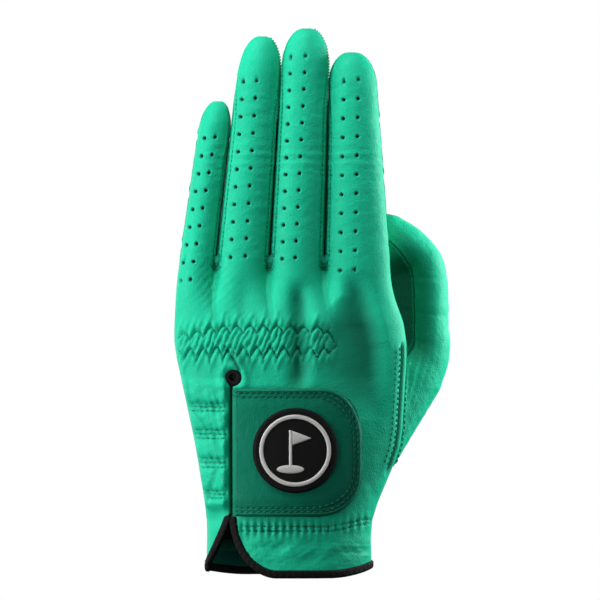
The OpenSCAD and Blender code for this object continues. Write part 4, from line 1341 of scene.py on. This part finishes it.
# ---- wrist tab ----
def tab_right(g, z):
    """x of the tab's free edge: slightly bowed, with wide round corners of the power 2.1."""
    cut = 0
    for share, deep in (((z - g.tab_top + 21.0) / 21.0, 15.5), ((g.tab_low + 17.0 - z) / 17.0, 17)):
        cut = cut + deep * (1 - np.sqrt(np.maximum(0, 1 - np.clip(share, 0, 1)**2.1)))
    return g.slit + 1.3 + g.v["tab_w"] - 0.36 * ((z - (g.tab_top + g.tab_low) / 2) / 20) ** 2 - cut


def tab_grid(g, o, rows=120, cols=120):
    """The tab's grid at the offset o from the hand, closer towards its edges, with both shares, across and up."""
    t = np.linspace(0, 1, rows)
    t = (1 - np.cos(math.pi * t)) / 2 * 0.6 + t * 0.4
    z = mix(g.tab_low - 0.4, g.tab_top, t)[:, None]
    u = np.linspace(0, 1, cols)[None]
    u = (1 - np.cos(math.pi * u)) / 2 * 0.4 + u * 0.6
    x = mix(g.slit + 0.45, tab_right(g, mix(g.tab_low, g.tab_top, t))[:, None], u)
    return g.hand_at(x, z + 0 * x, -1, o), u + 0 * x, t[:, None] + 0 * x


# distances of the tab's two stitch rows from its edge, and its face's distance from the hand's
TAB_ROWS = (2.0, 3.7)
TAB_FACE = 4.0


class GLOVE_OT_tab(bpy.types.Operator):
    """The wrist tab: folded leather with a double stitched border, its lining, hook tape and root"""

    bl_idname = "glove.tab"
    bl_label = "Wrist tab"

    def execute(self, context):
        g = form()
        outer, u, t = tab_grid(g, TAB_FACE)
        x, z = outer[..., 0], outer[..., 2]
        edge = self.edge_distance(g, x, z)
        r = Relief(0.10 * wave_noise(x, z, 101, 17) + 0.05 * wave_noise(x, z, 102, 5))
        r.add(0.30 * bump(edge - 1.0, 0.7) - 0.75 * bump(edge, 0.55))
        for line in TAB_ROWS:
            r.add(-0.26 * bump(edge - line, 0.45))
        r.add(0.35 * ease((edge - 4.5) / 3) * (1 - bump(np.hypot(x - 2.7, z - 53), 19)) - 0.15)
        r.add(0.27 * bump(z - 31, 6) * bump(x + 10, 14) - 0.42 * ease((x - 12) / 20))
        root = ease(1 - (x - g.slit - 0.4) / 1.6)
        r.add(-1.1 * root)
        # painted shade: the tab darkens towards its free end and towards its bottom, and along both stitch rows
        tone = 0.32 * ease(u) + 0.15 * ease(1 - 2 * t)
        for line in TAB_ROWS:
            tone = tone + 0.18 * bump(edge - line, 0.35)
        n = facing(outer, BACK)
        face = outer + n * r.h[..., None]
        under = tab_grid(g, TAB_FACE - 1.5)[0] + n * (-0.6 * root)[..., None]
        piece = shell("tab_leather_face", face, under, None, tone)
        give(piece, "tab_leather")
        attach(piece, "tab")
        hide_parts("tab_leather")
        CACHE["tab"] = Skin(face, n)
        threads = Threads()
        for i, inset in enumerate(TAB_ROWS):
            path = self.outline(g, inset)
            p, nn = CACHE["tab"].at(path[:, 0], path[:, 1])
            threads.add(p, nn, g.v["stitch"], 0.3, 0.64, 0.55, start=1.3 * i)
        stitches = threads.build("tab_stitches")
        give(stitches, "tab_thread")
        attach(stitches, "tab")
        give(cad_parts["tab_lining"], "elastic_tape")
        give(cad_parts["hook_patch"], "hook_and_loop")
        return {"FINISHED"}

    @staticmethod
    def outline(g, inset):
        """The stitch row's line: along the top, round the free end and back along the bottom."""
        low, top = g.tab_low - 0.4 + inset, g.tab_top - inset
        down = (1 - np.cos(math.pi * np.linspace(0, 1, 400))) / 2
        right = np.stack([tab_right(g, mix(g.tab_top, g.tab_low, down)) - inset, mix(top, low, down)], -1)
        x0 = g.slit + 2.4
        a = np.stack([np.linspace(x0, right[0, 0], 60)[:-1], np.full(59, top)], -1)
        b = np.stack([np.linspace(right[-1, 0], x0, 60)[1:], np.full(59, low)], -1)
        return np.concatenate([a, right, b])

    def edge_distance(self, g, x, z):
        """Distance in the front view from the top, free and bottom edges."""
        path = self.outline(g, 0.0)[::6]
        d = np.full(x.shape, 1e9)
        for a, b in zip(path[:-1], path[1:]):
            ab = b - a
            k = np.clip(((x - a[0]) * ab[0] + (z - a[1]) * ab[1]) / max(ab @ ab, 1e-9), 0, 1)
            d = np.minimum(d, np.hypot(x - a[0] - k * ab[0], z - a[1] - k * ab[1]))
        return d


class GLOVE_OT_badge(bpy.types.Operator):
    """The round badge: black twill with a rolled edge, a white satin-stitch ring and a small golf flag"""

    bl_idname = "glove.badge"
    bl_label = "Badge"

    def execute(self, context):
        g = form()
        cx, cz = 2.6, (g.tab_low + g.tab_top) / 2 + 0.6
        r1 = g.v["badge_dia"] / 2
        roll = 1.2
        r = np.concatenate([np.linspace(0, r1 - roll, 40), r1 - roll * np.cos(np.linspace(0, math.pi / 2, 9))[1:]])
        r = r[:, None]
        a = np.linspace(0, 2 * math.pi, 161)[None]
        p = g.hand_at(cx + r * np.cos(a), cz + r * np.sin(a), -1, TAB_FACE)
        rim = 1.05 * np.sqrt(np.maximum(0, 1 - np.clip((r - r1 + roll) / roll, 0, 1) ** 2))
        h = rim + 0.12 * bump(r - r1 + 1.3, 0.7) + 0.02 * np.sin(a * 150) * bump(r - r1 + 1, 0.8)
        top = p + np.array([0, -1.0, 0]) * (h + 0.25)[..., None]
        base = p + np.array([0, 0.25, 0])
        disc = shell("badge_twill_disc", top, base, None, 0 * h, True, 0)
        give(disc, "badge_twill")
        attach(disc, "tab")
        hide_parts("badge_disc")
        s = g.v["ring_dia"]
        a = np.linspace(0, 2 * math.pi, 900, endpoint=False)
        ring, n = self.front(g, cx + s / 2 * np.cos(a), cz + s / 2 * np.sin(a))
        piece = tube("badge_thread_ring", ring, n, 0.86, 0.42, 12, True, 0.10 * np.abs(np.sin(a * 75)))
        give(piece, "white_thread")
        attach(piece, "tab")
        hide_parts("badge_ring")
        t = np.linspace(0, 1, 90)
        satin = 0.09 * np.abs(np.sin(np.arange(len(t)) * 1.2))
        for part, x, z, half in (
            ("pole", cx - s * 0.068 + 0 * t, cz + s * mix(-0.27, 0.30, t), 0.62),
            ("cloth", cx + s * mix(-0.04, 0.235, t), cz + s * 0.185 + 0 * t, s * 0.105 * (1 - t) + 0.08),
            ("hole", cx + s * (0.4 * t - 0.27), cz - s * 0.275 + 0 * t,
             s * 0.062 * np.sqrt(np.maximum(0.02, 1 - (2 * t - 1) ** 2))),
        ):
            p, n = self.front(g, x, z)
            obj = tube("badge_flag_" + part, p, n, half, 0.36, 12, False, satin)
            give(obj, "white_thread")
            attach(obj, "tab")
            if part == "pole":
                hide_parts("badge_motif")
        return {"FINISHED"}

    @staticmethod
    def front(g, x, z, lift=1.27):
        """Points that stand lift out from the tab's face, and their normals, straight to the front."""
        p = g.hand_at(x, z, -1, TAB_FACE)
        p[:, 1] -= lift
        return p, np.tile([0.0, -1.0, 0.0], (len(p), 1))


# ---- stage ----
class GLOVE_OT_stage(bpy.types.Operator):
    """Camera, soft studio lights and a white background"""

    bl_idname = "glove.stage"
    bl_label = "Stage"

    def execute(self, context):
        scene = context.scene
        scene.view_settings.view_transform = "Standard"
        cam = bpy.data.cameras.new("camera")
        cam.lens = 357
        cam.sensor_width = 36
        cam.clip_end = 50
        obj = bpy.data.objects.new("camera", cam)
        obj.location = (0.0046, -2.5, 0.1163)
        obj.rotation_euler = (math.pi / 2, 0, 0)
        scene.collection.objects.link(obj)
        scene.camera = obj
        target = Vector((0.0, 0.0, 0.12))
        gain = 1.15
        for name, place, size, power in (
            ("left", (-0.55, -0.12, 0.20), 0.2, 1.75),
            ("left_high", (-0.20, -0.15, 0.50), 0.1, 0.8),
            ("left_low", (-0.25, -0.20, 0.02), 0.1, 0.36),
            ("top", (0.0, -0.06, 0.50), 0.1, 0.33),
            ("right", (0.30, 0.10, 0.20), 0.15, 1.2),
            ("right_high", (0.15, -0.25, 0.45), 0.1, 0.32),
            ("right_low", (0.30, -0.05, 0.0), 0.1, 0.17),
            ("back", (0.2, 1.5, 0.5), 1.0, 6.8),
            ("back_left", (-0.7, 0.9, 0.1), 0.6, 2.2),
        ):
            light = bpy.data.lights.new(name, "AREA")
            light.energy = gain * power
            light.size = size
            lamp = bpy.data.objects.new(name, light)
            lamp.location = place
            lamp.rotation_euler = (target - Vector(place)).to_track_quat("-Z", "Y").to_euler()
            scene.collection.objects.link(lamp)
        world = bpy.data.worlds.new("studio")
        world.use_nodes = True
        S.tree = world.node_tree
        S.tree.nodes.clear()
        seen = S.node("ShaderNodeLightPath", "Is Camera Ray")
        soft, white = (S.node("ShaderNodeBackground", 0, {0: (1, 1, 1, 1), 1: power}) for power in (0.03, 1.0))
        S.node("ShaderNodeOutputWorld", 0, {0: S.node("ShaderNodeMixShader", 0, {0: seen, 1: soft, 2: white})})
        scene.world = world
        return {"FINISHED"}


class GLOVE_PT_panel(bpy.types.Panel):
    """Sizes, colours and build steps of the glove"""

    bl_idname = "GLOVE_PT_panel"
    bl_label = "Golf glove"
    bl_space_type = "VIEW_3D"
    bl_region_type = "UI"
    bl_category = "Glove"

    def draw(self, context):
        for operator in OPERATORS:
            self.layout.operator(operator.bl_idname)
        for group in (context.scene.glove_sizes, context.scene.glove_colours):
            for name in group.__class__.__annotations__:
                self.layout.prop(group, name)


OPERATORS = (
    GLOVE_OT_stage, GLOVE_OT_hand, GLOVE_OT_fingers, GLOVE_OT_webs, GLOVE_OT_thumb, GLOVE_OT_bindings,
    GLOVE_OT_gathers, GLOVE_OT_tab, GLOVE_OT_badge,
)
CLASSES = (GloveSizes, GloveColours, *OPERATORS, GLOVE_PT_panel)


def register():
    for cls in CLASSES:
        bpy.utils.register_class(cls)
    bpy.types.Scene.glove_sizes = bpy.props.PointerProperty(type=GloveSizes)
    bpy.types.Scene.glove_colours = bpy.props.PointerProperty(type=GloveColours)


def unregister():
    del bpy.types.Scene.glove_colours
    del bpy.types.Scene.glove_sizes
    for cls in reversed(CLASSES):
        bpy.utils.unregister_class(cls)


def main():
    register()
    bpy.ops.glove.stage()
    bpy.ops.glove.hand()
    bpy.ops.glove.fingers()
    bpy.ops.glove.webs()
    bpy.ops.glove.thumb()
    bpy.ops.glove.bindings()
    bpy.ops.glove.gathers()
    bpy.ops.glove.tab()
    bpy.ops.glove.badge()


if __name__ == "__main__":
    main()
